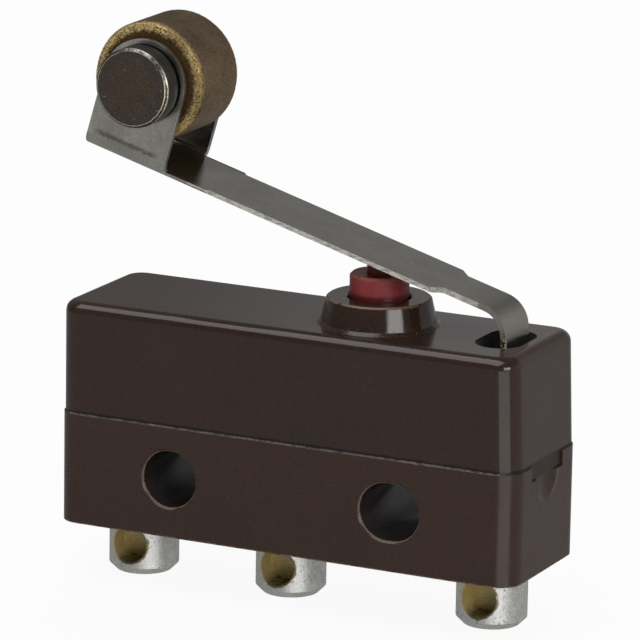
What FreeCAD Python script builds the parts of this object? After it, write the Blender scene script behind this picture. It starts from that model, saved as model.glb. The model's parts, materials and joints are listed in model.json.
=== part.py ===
"""A sub-miniature lever micro switch: moulded case, three posts, plunger, snap blade, roller lever.

Frame: the origin is on the axis of the round mounting hole, in the middle of the case's width.
+X runs along the case to its hinge end, +Y to its back and +Z up to the roller. Sizes are in mm.
"""
import FreeCAD, Part
import os
import re
import Sketcher

Vector = FreeCAD.Vector

# The driving sizes, each with what it measures

SIZES = [
    ("case_length", "19.8", "case, end to end"),
    ("case_width", "6.35", "case, front to back"),
    ("base_height", "4.52", "base, underside to seam"),
    ("cover_height", "4.45", "cover, seam to top"),
    ("cover_inset", "0.05", "cover set back from the base all round"),
    ("corner_radius", "0.93", "upright corners of the base"),
    ("cover_edge", "0.45", "rounding of the cover's top edge"),
    ("cover_lean", "0.17", "how far the cover's hinge end leans in at the top"),
    ("rim_bevel", "0.08", "bevel on the base's upper rim"),
    ("hole_to_end", "5.05", "round hole's axis to the near end of the case"),
    ("hole_height", "2.36", "hole axes above the base's underside"),
    ("hole_pitch", "9.525", "round hole to long hole"),
    ("hole_radius", "1.15", "mounting holes"),
    ("hole_stretch", "0.25", "extra length of the long hole"),
    ("hole_edge", "0.08", "bevel at the mouths of the holes"),
    ("overcut", "1", "how far a cut runs on past the faces it opens"),
    ("chamber_start", "0.7", "cover's end wall at the contact end"),
    ("hinge_block", "3.55", "solid end of the cover, from the chamber to the hinge end"),
    ("cover_wall", "0.8", "cover's side walls"),
    ("roof", "0.9", "cover's roof over the chamber"),
    ("chamber_corner", "0.4", "upright corners of the chamber"),
    ("recess_depth", "0.56", "chamber floor below the seam"),
    ("lip_height", "0.45", "base's locating lip above the seam"),
    ("lip_wall", "0.3", "thickness of the lip"),
    ("lip_gap", "0.03", "lip to cover, each side"),
    ("tongue_width", "2.87", "cover's tongue in the notch of the end wall"),
    ("tongue_drop", "0.66", "tongue below the seam"),
    ("tongue_depth", "0.45", "depth of the notch into the end wall"),
    ("tongue_gap", "0.02", "tongue to notch"),
    ("scoop_radius", "1.1", "thumbnail scoop on the end wall, as seen"),
    ("scoop_ball", "2.6", "ball that the scoop is cut by"),
    ("boss_foot", "2.3", "radius of the collar round the plunger, at its foot"),
    ("boss_top", "2.05", "radius of the collar at its top"),
    ("boss_height", "1.06", "collar above the cover"),
    ("boss_skirt", "0.12", "bevel at the collar's foot"),
    ("boss_edge", "0.07", "bevel at the collar's top"),
    ("plunger_place", "7.46", "plunger's axis from the round hole"),
    ("plunger_radius", "1.165", "plunger's barrel"),
    ("plunger_clearance", "0.08", "plunger to its bore"),
    ("bore_flare", "0.06", "flare at the mouth of the bore"),
    ("plunger_edge", "0.1", "bevel round the barrel's top"),
    ("tip_radius", "0.5", "tip that the lever rests on"),
    ("dome_radius", "0.8", "radius of the dome on the tip"),
    ("tip_height", "0.49", "tip from the barrel's top to the dome's rim"),
    ("tip_gap", "0.02", "lever to dome at rest"),
    ("flange_radius", "1.62", "flange that keeps the plunger in"),
    ("flange_thickness", "0.35", "same flange"),
    ("flange_gap", "0.04", "flange below the roof at rest"),
    ("stem_radius", "0.55", "stem that presses the blade"),
    ("free_travel", "0.62", "stem to blade at rest"),
    ("post_radius", "1.4", "terminal posts"),
    ("post_length", "2.4", "posts below the base"),
    ("post_chamfer", "0.28", "bevel at the foot of the posts"),
    ("wire_hole_radius", "0.725", "blind wire hole in a post"),
    ("wire_hole_depth", "1.05", "same hole, from the post's front"),
    ("wire_hole_drop", "1.17", "same hole's axis below the base"),
    ("shank_radius", "0.6", "post's shank through the base"),
    ("head_radius", "0.84", "shank's peened head"),
    ("head_height", "0.25", "same head"),
    ("closed_inset", "2.33", "normally closed post from the contact end of the case"),
    ("open_place", "3.84", "normally open post from the round hole"),
    ("common_inset", "2.2", "common post from the hinge end of the case"),
    ("strip", "0.3", "thickness of the fixed contact strips"),
    ("strip_width", "2.2", "width of the fixed contact strips"),
    ("strip_margin", "1.1", "strip beyond a post's axis"),
    ("strip_bend", "0.08", "inside radius of the strips' bends"),
    ("strip_apart", "0.15", "clear space between neighbouring strips"),
    ("strip_lap", "0.1", "strip beyond a contact button"),
    ("blade", "0.12", "thickness of the snap blade"),
    ("blade_level", "4.08", "blade's underside above the hole axes"),
    ("blade_width", "3.2", "blade, front to back"),
    ("root_gap", "0.07", "blade's fixed end from the lip"),
    ("blade_lead", "0.85", "blade beyond the contacts' axis"),
    ("window_inset", "1.3", "contacts' axis to the window in the blade"),
    ("window_end", "6.3", "window in the blade, root end"),
    ("window_width", "1.7", "window, front to back"),
    ("tongue_strip", "1.1", "width of the bowed tongue in the window"),
    ("tongue_bow", "0.8", "how far the tongue bows down"),
    ("finger_place", "5.6", "anchor finger's near face from the round hole"),
    ("finger_width", "1.0", "anchor finger"),
    ("finger_gap", "0.08", "tongue's end to the finger"),
    ("finger_top", "0.1", "finger above the blade"),
    ("contact_inset", "2.45", "contacts' axis from the contact end of the case"),
    ("contact_radius", "0.75", "contact buttons"),
    ("contact_height", "0.35", "contact buttons above their strip"),
    ("contact_edge", "0.12", "bevel of the buttons"),
    ("contact_tail", "0.35", "radius of the buttons' riveted tails"),
    ("tail_height", "0.12", "riveted tail beyond the strip"),
    ("touch_gap", "0.02", "closed contacts, at rest"),
    ("contact_travel", "0.5", "moving contact between the fixed ones"),
    ("shelf_length", "1.65", "shelf that the blade is clamped on"),
    ("shelf_width", "3.0", "same shelf, front to back"),
    ("clamp_height", "0.25", "clamp plate over the blade"),
    ("clamp_length", "1.2", "same plate"),
    ("clamp_margin", "0.1", "same plate's edge to the shelf's edge"),
    ("rivet_radius", "0.3", "blade rivets"),
    ("rivet_head", "0.5", "radius of the rivets' heads"),
    ("rivet_crown", "0.35", "radius of the flat on the same heads"),
    ("rivet_rise", "0.18", "height of the rivets' heads"),
    ("rivet_spread", "1.8", "rivet to rivet"),
    ("pivot_inset", "1.91", "lever's pivot from the hinge end of the case"),
    ("pivot_height", "5.3", "lever's pivot above the hole axes"),
    ("pivot_radius", "0.38", "pivot pin"),
    ("pivot_clearance", "0.03", "pin to the lever's eye"),
    ("pivot_length", "4.4", "pivot pin"),
    ("pocket_inset", "1.88", "middle of the lever's pocket from the hinge end of the case"),
    ("pocket_length", "1.9", "pocket, along the case"),
    ("pocket_width", "3.1", "pocket, front to back"),
    ("pocket_floor", "0.85", "pivot pin's axis above the pocket's floor"),
    ("plug_gap", "0.04", "base's plug to the pocket"),
    ("sheet", "0.22", "lever's sheet"),
    ("lever_slope", "16", "lever's slope to the case at rest, in degrees"),
    ("lever_rise", "2.6", "lever's upper face from the pivot, square to the sheet"),
    ("leg_lean", "21", "leg's lean from square to the strip, in degrees"),
    ("leg_bend", "1.0", "inside radius of the bend between leg and strip"),
    ("lever_narrow", "2.2", "leg and neck of the lever"),
    ("lever_wide", "3.2", "strip of the lever"),
    ("strip_shift", "0.12", "strip's middle in front of the leg's middle"),
    ("lever_root", "3.44", "strip of the lever beside the ears"),
    ("neck_length", "2.95", "pivot to the shoulder, along the strip"),
    ("shoulder", "0.4", "length of the shoulder"),
    ("root_length", "2.0", "broad root beside the ears"),
    ("root_taper", "0.1", "taper at the start of the root"),
    ("eye_opening", "60", "opening of the rolled eye, in degrees"),
    ("roller_place", "16.97", "pivot to roller, along the strip"),
    ("roller_rise", "3.04", "roller's axis above the strip"),
    ("roller_radius", "2.39", "roller"),
    ("roller_edge", "0.1", "bevel of the roller's rims, across its end"),
    ("roller_edge_length", "0.22", "same bevel, along its tread"),
    ("roller_gap", "0.17", "roller to each ear"),
    ("fork_width", "3.94", "over the two ears"),
    ("ear_radius", "1.78", "round top of the ears"),
    ("fold_radius", "0.23", "inside radius of the ears' folds"),
    ("axle_radius", "0.8", "roller's axle"),
    ("axle_clearance", "0.05", "axle to the roller's bore"),
    ("axle_head_radius", "1.58", "axle's big head"),
    ("axle_head_length", "1.03", "same head, from the ear"),
    ("axle_head_edge", "0.11", "bevel of the head"),
    ("axle_shoulder_radius", "1.35", "shoulder that holds the head off the ear"),
    ("axle_shoulder", "0.13", "same shoulder, along the axle"),
    ("axle_tail_radius", "1.15", "axle's peened end"),
    ("axle_tail_length", "0.3", "same end"),
]
ALIASES = {alias for alias, _, _ in SIZES}

doc = FreeCAD.newDocument("lever_micro_switch")
sheet_of_sizes = doc.addObject("Spreadsheet::Sheet", "sizes")
for line, (alias, value, meaning) in enumerate(SIZES, start=1):
    sheet_of_sizes.set(f"A{line}", meaning)
    sheet_of_sizes.set(f"B{line}", value)
    sheet_of_sizes.setAlias(f"B{line}", alias)
doc.recompute()

# Levels and places that several pieces share, as expressions of the sizes

LEFT = "(0 - hole_to_end)"
RIGHT = "(case_length - hole_to_end)"
UNDERSIDE = "(0 - hole_height)"
SEAM = "(base_height - hole_height)"
TOP = f"({SEAM} + cover_height)"
ROOF = f"({TOP} - roof)"
FLOOR = f"({SEAM} - recess_depth)"
CHAMBER_LEFT = f"({LEFT} + chamber_start)"
CHAMBER_RIGHT = f"({RIGHT} - hinge_block)"
CHAMBER_HALF = "(case_width / 2 - cover_inset - cover_wall)"
BLADE_TOP = "(blade_level + blade)"
FIXED_UPPER = f"({BLADE_TOP} + contact_height + touch_gap)"
FIXED_LOWER = "(blade_level - contact_height - contact_travel - touch_gap)"
POCKET_BOTTOM = "(pivot_height - pocket_floor)"
EYE_INNER = "(pivot_radius + pivot_clearance)"
EYE_OUTER = f"({EYE_INNER} + sheet)"
CLOSED_POST = f"({LEFT} + closed_inset)"
COMMON_POST = f"({RIGHT} - common_inset)"
CONTACT = f"({LEFT} + contact_inset)"
PIVOT = f"({RIGHT} - pivot_inset)"
POCKET = f"({RIGHT} - pocket_inset)"
BLADE_ROOT = f"({CHAMBER_RIGHT} - lip_gap - lip_wall - root_gap)"
BLADE_END = f"({CONTACT} - blade_lead)"
WINDOW_START = f"({CONTACT} + window_inset)"
RIVET_PLACE = f"({BLADE_ROOT} - shelf_length + clamp_margin + clamp_length / 2)"

# Where the sloping lever's underside meets the plunger's dome, and where the roller's axis lies

DOME_REACH = "(lever_rise - sheet - tip_gap - dome_radius)"
DOME_CENTRE = (f"(pivot_height + ({DOME_REACH} - (plunger_place - {PIVOT}) * sin(lever_slope))"
               " / cos(lever_slope))")
DOME_RIM = f"({DOME_CENTRE} + sqrt(dome_radius * dome_radius - tip_radius * tip_radius))"
ROLLER_AXIS = {
    "x": f"{PIVOT} - roller_place * cos(lever_slope) + (lever_rise + roller_rise) * sin(lever_slope)",
    "z": "pivot_height + roller_place * sin(lever_slope) + (lever_rise + roller_rise) * cos(lever_slope)",
}


def sized(text):
    """Write the sheet's name before every size in an expression."""
    return re.sub(r"[a-z_]+", lambda word: "sizes." + word[0] if word[0] in ALIASES else word[0], text)


def number(text):
    """The value of an expression, in millimetres or degrees."""
    return float(sheet_of_sizes.evalExpression(sized(text)))


def bind(thing, **properties):
    """Bind properties of a feature to expressions of the sizes."""
    for name, text in properties.items():
        thing.setExpression(name, sized(text))
    return thing


# Sketches whose every corner is held by the sizes

def new_body(name, x="0", y="0", z="0"):
    """An empty body, placed by expressions."""
    body = doc.addObject("PartDesign::Body", name)
    body.Label = name
    for axis, text in (("x", x), ("y", y), ("z", z)):
        body.setExpression("Placement.Base." + axis, sized(text))
    return body


def new_sketch(body, plane, lift="0", shift="0"):
    """A sketch on one of the body's own planes, lifted along the plane's normal."""
    sketch = body.newObject("Sketcher::SketchObject", body.Name + "_sketch")
    support = next(item for item in body.Origin.OriginFeatures if item.Role == plane)
    sketch.AttachmentSupport = [(support, "")]
    sketch.MapMode = "FlatFace"
    sketch.setExpression("AttachmentOffset.Base.z", sized(lift))
    sketch.setExpression("AttachmentOffset.Base.x", sized(shift))
    return sketch


def hold(sketch, kind, geometry, point, text):
    """Hold one coordinate of a sketch point at an expression."""
    constraint = Sketcher.Constraint(kind, -1, 1, geometry, point, number(text))
    sketch.setExpression(f"Constraints[{sketch.addConstraint(constraint)}]", sized(text))


def outline(sketch, corners):
    """Draw a closed outline.

    A corner is (x, y), and a straight edge leads on to the next corner, or (x, y, centre x,
    centre y, turn), and an arc about that centre leads on, anticlockwise for a turn of 1.
    """
    places = [Vector(number(corner[0]), number(corner[1]), 0) for corner in corners]
    first = sketch.GeometryCount
    starts = []
    ends = []
    for index, corner in enumerate(corners):
        here = places[index]
        there = places[(index + 1) % len(corners)]
        if len(corner) == 2:
            sketch.addGeometry(Part.LineSegment(here, there))
            starts.append(1)
            ends.append(2)
            continue
        centre = Vector(number(corner[2]), number(corner[3]), 0)
        begin, finish = (here, there) if corner[4] > 0 else (there, here)
        circle = Part.Circle(centre, Vector(0, 0, 1), (here - centre).Length)
        angles = [circle.parameter(begin), circle.parameter(finish)]
        sketch.addGeometry(Part.ArcOfCircle(circle, *angles))
        starts.append(1 if corner[4] > 0 else 2)
        ends.append(2 if corner[4] > 0 else 1)
    for index, corner in enumerate(corners):
        following = (index + 1) % len(corners)
        joint = (first + index, ends[index], first + following, starts[following])
        sketch.addConstraint(Sketcher.Constraint("Coincident", *joint))
        hold(sketch, "DistanceX", first + index, starts[index], corner[0])
        hold(sketch, "DistanceY", first + index, starts[index], corner[1])
        if len(corner) > 2:
            chord = places[following] - places[index]
            kind, text = ("DistanceX", corner[2]) if abs(chord.y) > abs(chord.x) else ("DistanceY", corner[3])
            hold(sketch, kind, first + index, 3, text)


def rectangle(sketch, x_low, x_high, y_low, y_high):
    """Draw a rectangle between four expressions."""
    outline(sketch, [(x_low, y_low), (x_high, y_low), (x_high, y_high), (x_low, y_high)])


def circle(sketch, x, y, radius):
    """Draw a circle held by its centre and radius."""
    round_edge = Part.Circle(Vector(number(x), number(y), 0), Vector(0, 0, 1), number(radius))
    geometry = sketch.addGeometry(round_edge)
    hold(sketch, "DistanceX", geometry, 3, x)
    hold(sketch, "DistanceY", geometry, 3, y)
    constraint = Sketcher.Constraint("Radius", geometry, number(radius))
    sketch.setExpression(f"Constraints[{sketch.addConstraint(constraint)}]", sized(radius))


def slot_outline(x, y, half_straight, radius, upright):
    """Corners of a slot with round ends, along the sketch's first or second axis."""
    reach_x, reach_y = (radius, half_straight) if upright else (half_straight, radius)
    low_x = f"({x} - {reach_x})"
    high_x = f"({x} + {reach_x})"
    low_y = f"({y} - {reach_y})"
    high_y = f"({y} + {reach_y})"
    if upright:
        return [(high_x, low_y), (high_x, high_y, x, high_y, 1), (low_x, high_y), (low_x, low_y, x, low_y, 1)]
    return [(low_x, low_y), (high_x, low_y, high_x, y, 1), (high_x, high_y), (low_x, high_y, low_x, y, 1)]


# Features

def extrude(kind, sketch, length, symmetric=False, reverse=False):
    """Pad or pocket a sketch by an expression."""
    body = sketch.getParentGeoFeatureGroup()
    feature = body.newObject("PartDesign::" + kind, sketch.Name + "_" + kind.lower())
    feature.Profile = sketch
    feature.SideType = "Symmetric" if symmetric else "One side"
    feature.Reversed = reverse
    sketch.Visibility = False
    return bind(feature, Length=length)


def pad(sketch, length, **options):
    """Add material over a sketch."""
    return extrude("Pad", sketch, length, **options)


def pocket(sketch, length, **options):
    """Cut material away over a sketch."""
    return extrude("Pocket", sketch, length, **options)


def turn(body, plane, profile, kind="Revolution", lift="0", shift="0"):
    """Turn a profile of (radius, place along the axis) about the sketch's second axis."""
    sketch = new_sketch(body, plane, lift, shift)
    outline(sketch, profile)
    feature = body.newObject("PartDesign::" + kind, sketch.Name + "_turned")
    feature.Profile = sketch
    feature.ReferenceAxis = (sketch, ["V_Axis"])
    feature.Angle = 360
    return feature


def dress(body, kind, size, wanted):
    """Round or bevel the edges of the body whose bounding box passes the test."""
    doc.recompute()
    base = body.Tip
    names = [f"Edge{index}" for index, edge in enumerate(base.Shape.Edges, start=1)
             if wanted(edge.BoundBox)]
    if not names:
        raise RuntimeError(f"{body.Name}: no edge to {kind.lower()}")
    feature = body.newObject("PartDesign::" + kind, f"{body.Name}_{kind.lower()}")
    feature.Base = (base, names)
    return bind(feature, **{"Radius" if kind == "Fillet" else "Size": size})


def near(value, target, slack=1e-4):
    """Whether two lengths are the same."""
    return abs(value - target) < slack


def level(box, low, high=None):
    """Whether an edge lies in the flat between two heights."""
    return near(box.ZMin, low) and near(box.ZMax, low if high is None else high)


def upright_at(box, x_places, y_places):
    """Whether an edge stands upright at one of these places."""
    thin = box.XLength < 1e-4 and box.YLength < 1e-4 and box.ZLength > 1e-2
    return thin and any(near(box.XMin, x) for x in x_places) and any(near(abs(box.YMin), y) for y in y_places)


# The moulded case

def make_base():
    """The lower moulding: holes across it, posts through it, a lip and the hinge plug on top."""
    body = new_body("base_housing")
    sketch = new_sketch(body, "XY_Plane", UNDERSIDE)
    rectangle(sketch, LEFT, RIGHT, "0 - case_width / 2", "case_width / 2")
    pad(sketch, "base_height")
    ends = [number(LEFT), number(RIGHT)]
    half = number("case_width / 2")
    dress(body, "Fillet", "corner_radius", lambda box: upright_at(box, ends, [half]))
    seam = number(SEAM)
    dress(body, "Chamfer", "rim_bevel", lambda box: level(box, seam))

    lip = new_sketch(body, "XY_Plane", FLOOR)
    gap = "lip_gap"
    rectangle(lip, f"{CHAMBER_LEFT} + {gap}", f"{CHAMBER_RIGHT} - {gap}",
              f"0 - {CHAMBER_HALF} + {gap}", f"{CHAMBER_HALF} - {gap}")
    pad(lip, "recess_depth + lip_height")
    inside = f"({gap} + lip_wall)"
    recess = new_sketch(body, "XY_Plane", FLOOR)
    rectangle(recess, f"{CHAMBER_LEFT} + {inside}", f"{CHAMBER_RIGHT} - {inside}",
              f"0 - {CHAMBER_HALF} + {inside}", f"{CHAMBER_HALF} - {inside}")
    pocket(recess, "recess_depth + lip_height", reverse=True)
    corners_x = [number(f"{CHAMBER_LEFT} + {gap}"), number(f"{CHAMBER_RIGHT} - {gap}")]
    corners_y = [number(f"{CHAMBER_HALF} - {gap}")]
    dress(body, "Fillet", "chamber_corner", lambda box: upright_at(box, corners_x, corners_y))

    plug = new_sketch(body, "XY_Plane", SEAM)
    straight = "((pocket_width - pocket_length) / 2)"
    outline(plug, slot_outline(POCKET, "0", straight, "(pocket_length / 2 - plug_gap)", True))
    pad(plug, f"{POCKET_BOTTOM} - {SEAM}")
    ribs = new_sketch(body, "XY_Plane", SEAM)
    for side in (-1, 1):
        near_y = f"{side} * (pocket_width / 2 - plug_gap - pocket_length / 4)"
        far_y = f"{side} * (pivot_length / 2)"
        rectangle(ribs, f"{PIVOT} - pivot_radius + plug_gap", f"{PIVOT} + pivot_radius - plug_gap",
                  *((far_y, near_y) if side < 0 else (near_y, far_y)))
    pad(ribs, f"pivot_height - pivot_radius - {SEAM}")
    clear = new_sketch(body, "XZ_Plane")
    circle(clear, PIVOT, "pivot_height", f"{EYE_OUTER} + 2 * sheet")
    pocket(clear, "pocket_width - plug_gap * 2", symmetric=True)

    tunnel = new_sketch(body, "XZ_Plane")
    rectangle(tunnel, f"{CHAMBER_RIGHT} - {inside} - overcut", f"{COMMON_POST} + strip_margin + plug_gap",
              FLOOR, f"{FLOOR} + strip + head_height + plug_gap")
    pocket(tunnel, "strip_width + 2 * plug_gap", symmetric=True)

    shanks = new_sketch(body, "XY_Plane", UNDERSIDE)
    for place in (CLOSED_POST, "open_place", COMMON_POST):
        circle(shanks, place, "0", "shank_radius")
    pocket(shanks, f"{FLOOR} - {UNDERSIDE}", reverse=True)
    holes = new_sketch(body, "XZ_Plane")
    circle(holes, "0", "0", "hole_radius")
    outline(holes, slot_outline("hole_pitch", "0", "hole_stretch / 2", "hole_radius", False))
    pocket(holes, "case_width", symmetric=True)
    bore = number("hole_radius")
    dress(body, "Chamfer", "hole_edge", lambda box: box.YLength < 1e-4 and near(abs(box.YMin), half)
          and box.ZMin > -bore - 1e-3 and box.ZMax < bore + 1e-3)

    notch = new_sketch(body, "XY_Plane", f"{SEAM} - tongue_drop")
    rectangle(notch, f"{RIGHT} - tongue_depth", f"{RIGHT} + overcut",
              "0 - tongue_width / 2 - tongue_gap", "tongue_width / 2 + tongue_gap")
    pocket(notch, "tongue_drop + overcut", reverse=True)
    doc.recompute()
    turn(body, "XY_Plane", [("0", "scoop_ball", "0", "0", 1), ("0", "0 - scoop_ball")], "Groove",
         f"{SEAM} - tongue_drop", f"{RIGHT} + sqrt(scoop_ball * scoop_ball - scoop_radius * scoop_radius)")


def make_cover():
    """The upper moulding: chamber below, collar for the plunger and a pocket for the hinge on top."""
    body = new_body("cover_housing")
    block = new_sketch(body, "XZ_Plane")
    left, right = f"{LEFT} + cover_inset", f"{RIGHT} - cover_inset"
    outline(block, [(left, SEAM), (right, SEAM), (f"{right} - cover_lean", TOP), (left, TOP)])
    pad(block, "case_width - 2 * cover_inset", symmetric=True)
    half = number("case_width / 2 - cover_inset")
    top = number(TOP)
    dress(body, "Fillet", "corner_radius - cover_inset", lambda box: box.YLength < 1e-4
          and near(abs(box.YMin), half) and near(box.ZMin, number(SEAM)) and near(box.ZMax, top))
    dress(body, "Fillet", "cover_edge", lambda box: level(box, top))

    chamber = new_sketch(body, "XY_Plane", SEAM)
    rectangle(chamber, CHAMBER_LEFT, CHAMBER_RIGHT, f"0 - {CHAMBER_HALF}", CHAMBER_HALF)
    pocket(chamber, f"{ROOF} - {SEAM}", reverse=True)
    walls = [number(CHAMBER_LEFT), number(CHAMBER_RIGHT)]
    sides = [number(CHAMBER_HALF)]
    dress(body, "Fillet", "chamber_corner", lambda box: upright_at(box, walls, sides))

    turn(body, "XZ_Plane", [("0", ROOF), ("boss_foot", ROOF), ("boss_foot", TOP),
                            ("boss_top", f"{TOP} + boss_height"), ("0", f"{TOP} + boss_height")],
         shift="plunger_place")
    place = number("plunger_place")
    foot = number("2 * boss_foot")
    crown = number("2 * boss_top")
    summit = number(f"{TOP} + boss_height")
    dress(body, "Chamfer", "boss_skirt", lambda box: level(box, top) and near(box.XLength, foot))
    dress(body, "Chamfer", "boss_edge", lambda box: level(box, summit) and near(box.XLength, crown))
    bore = new_sketch(body, "XY_Plane", ROOF)
    circle(bore, "plunger_place", "0", "plunger_radius + plunger_clearance")
    pocket(bore, f"{TOP} + boss_height - {ROOF}", reverse=True)
    mouth = number("2 * (plunger_radius + plunger_clearance)")
    dress(body, "Chamfer", "bore_flare", lambda box: level(box, summit) and near(box.XLength, mouth)
          and abs(box.Center.x - place) < 0.01)

    well = new_sketch(body, "XY_Plane", SEAM)
    straight = "((pocket_width - pocket_length) / 2)"
    outline(well, slot_outline(POCKET, "0", straight, "(pocket_length / 2)", True))
    pocket(well, "cover_height", reverse=True)
    seats = new_sketch(body, "XY_Plane", SEAM)
    rectangle(seats, f"{PIVOT} - pivot_radius", f"{PIVOT} + pivot_radius",
              "0 - pivot_length / 2", "pivot_length / 2")
    pocket(seats, f"pivot_height - {SEAM}", reverse=True)
    saddle = new_sketch(body, "XZ_Plane")
    circle(saddle, PIVOT, "pivot_height", "pivot_radius")
    pocket(saddle, "pivot_length", symmetric=True)

    tongue = new_sketch(body, "XY_Plane", f"{SEAM} - tongue_drop + tongue_gap")
    rectangle(tongue, f"{RIGHT} - tongue_depth + tongue_gap", f"{RIGHT} - 2 * cover_inset",
              "0 - tongue_width / 2", "tongue_width / 2")
    pad(tongue, "tongue_drop - tongue_gap + cover_edge")


# The plunger and the lever that works it

def make_plunger():
    """The push button: barrel in the collar, domed tip above, flange and stem below the roof."""
    height = f"({DOME_RIM} - tip_height)"
    flange_top = f"({ROOF} - flange_gap)"
    flange_foot = f"({flange_top} - flange_thickness)"
    tip = f"({BLADE_TOP} + free_travel)"
    body = new_body("plunger", x="plunger_place")
    turn(body, "XZ_Plane", [("0", tip), ("stem_radius", tip), ("stem_radius", flange_foot),
                            ("flange_radius", flange_foot), ("flange_radius", flange_top),
                            ("plunger_radius", flange_top), ("plunger_radius", f"{height} - plunger_edge"),
                            ("plunger_radius - plunger_edge", height), ("tip_radius", height),
                            ("tip_radius", DOME_RIM, "0", DOME_CENTRE, 1),
                            ("0", f"{DOME_CENTRE} + dome_radius")])


def make_pivot_pin():
    """The plain pin that the lever turns on, held between the cover's seats and the base's ribs."""
    body = new_body("lever_pivot_pin", x=PIVOT, z="pivot_height")
    turn(body, "XY_Plane", [("0", "0 - pivot_length / 2"), ("pivot_radius", "0 - pivot_length / 2"),
                            ("pivot_radius", "pivot_length / 2"), ("0", "pivot_length / 2")])


def make_lever():
    """One folded strip: rolled eye, leg, bend, neck, strip and the two ears of the roller's fork.

    It is drawn with the strip level and the pivot at the origin, then tilted to its slope.
    """
    body = new_body("roller_lever", x=PIVOT, z="pivot_height")
    body.Placement.Rotation = FreeCAD.Rotation(Vector(0, 1, 0), number("lever_slope"))
    body.setExpression("Placement.Rotation.Angle", sized("lever_slope"))
    lower = "(lever_rise - sheet)"
    end = "(0 - roller_place - ear_radius)"

    eye = new_sketch(body, "XZ_Plane")
    circle(eye, "0", "0", EYE_OUTER)
    circle(eye, "0", "0", EYE_INNER)
    pad(eye, "lever_narrow", symmetric=True)
    opening = new_sketch(body, "XZ_Plane")
    reach = f"(2 * {EYE_OUTER})"
    outline(opening, [("0", "0"), (f"{reach} * cos(leg_lean)", f"{reach} * sin(leg_lean)"),
                      (f"{reach} * cos(leg_lean + eye_opening)", f"{reach} * sin(leg_lean + eye_opening)")])
    pocket(opening, "lever_narrow + overcut", symmetric=True)

    side = new_sketch(body, "XZ_Plane")
    corner_x = f"(({EYE_OUTER} - lever_rise * sin(leg_lean)) / cos(leg_lean))"
    inner_x = f"(({EYE_INNER} - {lower} * sin(leg_lean)) / cos(leg_lean))"
    outline(side, [(f"{EYE_OUTER} * cos(leg_lean)", f"{EYE_OUTER} * sin(leg_lean)"), (corner_x, "lever_rise"),
                   (end, "lever_rise"), (end, lower), (inner_x, lower),
                   (f"{EYE_INNER} * cos(leg_lean)", f"{EYE_INNER} * sin(leg_lean)")])
    pad(side, "fork_width", symmetric=True)
    rise, under = number("lever_rise"), number(lower)
    outer, inner = number(corner_x), number(inner_x)
    dress(body, "Fillet", "leg_bend + sheet", lambda box: level(box, rise) and near(box.XMin, outer)
          and box.XLength < 1e-4)
    dress(body, "Fillet", "leg_bend", lambda box: level(box, under) and near(box.XMin, inner)
          and box.XLength < 1e-4)

    plan = new_sketch(body, "XY_Plane", f"0 - 2 * {EYE_OUTER}")
    shoulder = "(0 - neck_length)"
    ears = "(0 - roller_place + ear_radius)"
    hinge_end = f"(2 * {EYE_OUTER})"
    over = "(fork_width + overcut)"
    for side_sign in (1, -1):
        wide = f"(lever_wide - {side_sign} * 2 * strip_shift)"
        root = f"(lever_root - {side_sign} * 2 * strip_shift)"
        widths = [(hinge_end, "lever_narrow"), (shoulder, "lever_narrow"),
                  (f"{shoulder} - shoulder", wide), (f"{ears} + root_length", wide),
                  (f"{ears} + root_length - root_taper", root), (ears, root),
                  (ears, over), (hinge_end, over)]
        outline(plan, [(x, f"{side_sign} * ({width}) / 2") for x, width in widths])
    pocket(plan, f"lever_rise + 4 * {EYE_OUTER}", reverse=True)

    axle = "(lever_rise + roller_rise)"
    for lift in ("fork_width / 2 - sheet", "0 - fork_width / 2"):
        ear = new_sketch(body, "XZ_Plane", lift)
        outline(ear, [(end, lower), (ears, lower), (ears, axle, "0 - roller_place", axle, 1), (end, axle)])
        pad(ear, "sheet")
    holes = new_sketch(body, "XZ_Plane")
    circle(holes, "0 - roller_place", axle, "axle_radius")
    pocket(holes, over, symmetric=True)
    outer_y = number("fork_width / 2")
    inner_y = number("fork_width / 2 - sheet")
    length = number("2 * ear_radius")
    dress(body, "Fillet", "fold_radius + sheet", lambda box: level(box, under)
          and near(abs(box.YMin), outer_y) and near(box.XLength, length))
    dress(body, "Fillet", "fold_radius", lambda box: level(box, rise)
          and near(abs(box.YMin), inner_y) and near(box.XLength, length))


def make_roller():
    """The sintered roller between the ears."""
    body = new_body("roller", **ROLLER_AXIS)
    half = "(fork_width / 2 - sheet - roller_gap)"
    bore = "(axle_radius + axle_clearance)"
    turn(body, "XY_Plane", [(bore, f"0 - {half}"), ("roller_radius - roller_edge", f"0 - {half}"),
                            ("roller_radius", f"0 - {half} + roller_edge_length"),
                            ("roller_radius", f"{half} - roller_edge_length"),
                            ("roller_radius - roller_edge", half), (bore, half)])


def make_axle():
    """The roller's axle: a rivet with a big drum head and a shoulder in front, peened over behind."""
    body = new_body("roller_axle", **ROLLER_AXIS)
    face = "(fork_width / 2)"
    front = f"(0 - {face} - axle_head_length)"
    back = f"({face} + axle_tail_length)"
    turn(body, "XY_Plane", [("0", front), ("axle_head_radius - axle_head_edge", front),
                            ("axle_head_radius", f"{front} + axle_head_edge"),
                            ("axle_head_radius", f"0 - {face} - axle_shoulder"),
                            ("axle_shoulder_radius", f"0 - {face} - axle_shoulder"),
                            ("axle_shoulder_radius", f"0 - {face}"), ("axle_radius", f"0 - {face}"),
                            ("axle_radius", face), ("axle_tail_radius", face),
                            ("axle_tail_radius - axle_head_edge", back), ("0", back)])


# Posts, strips and contacts

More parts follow.
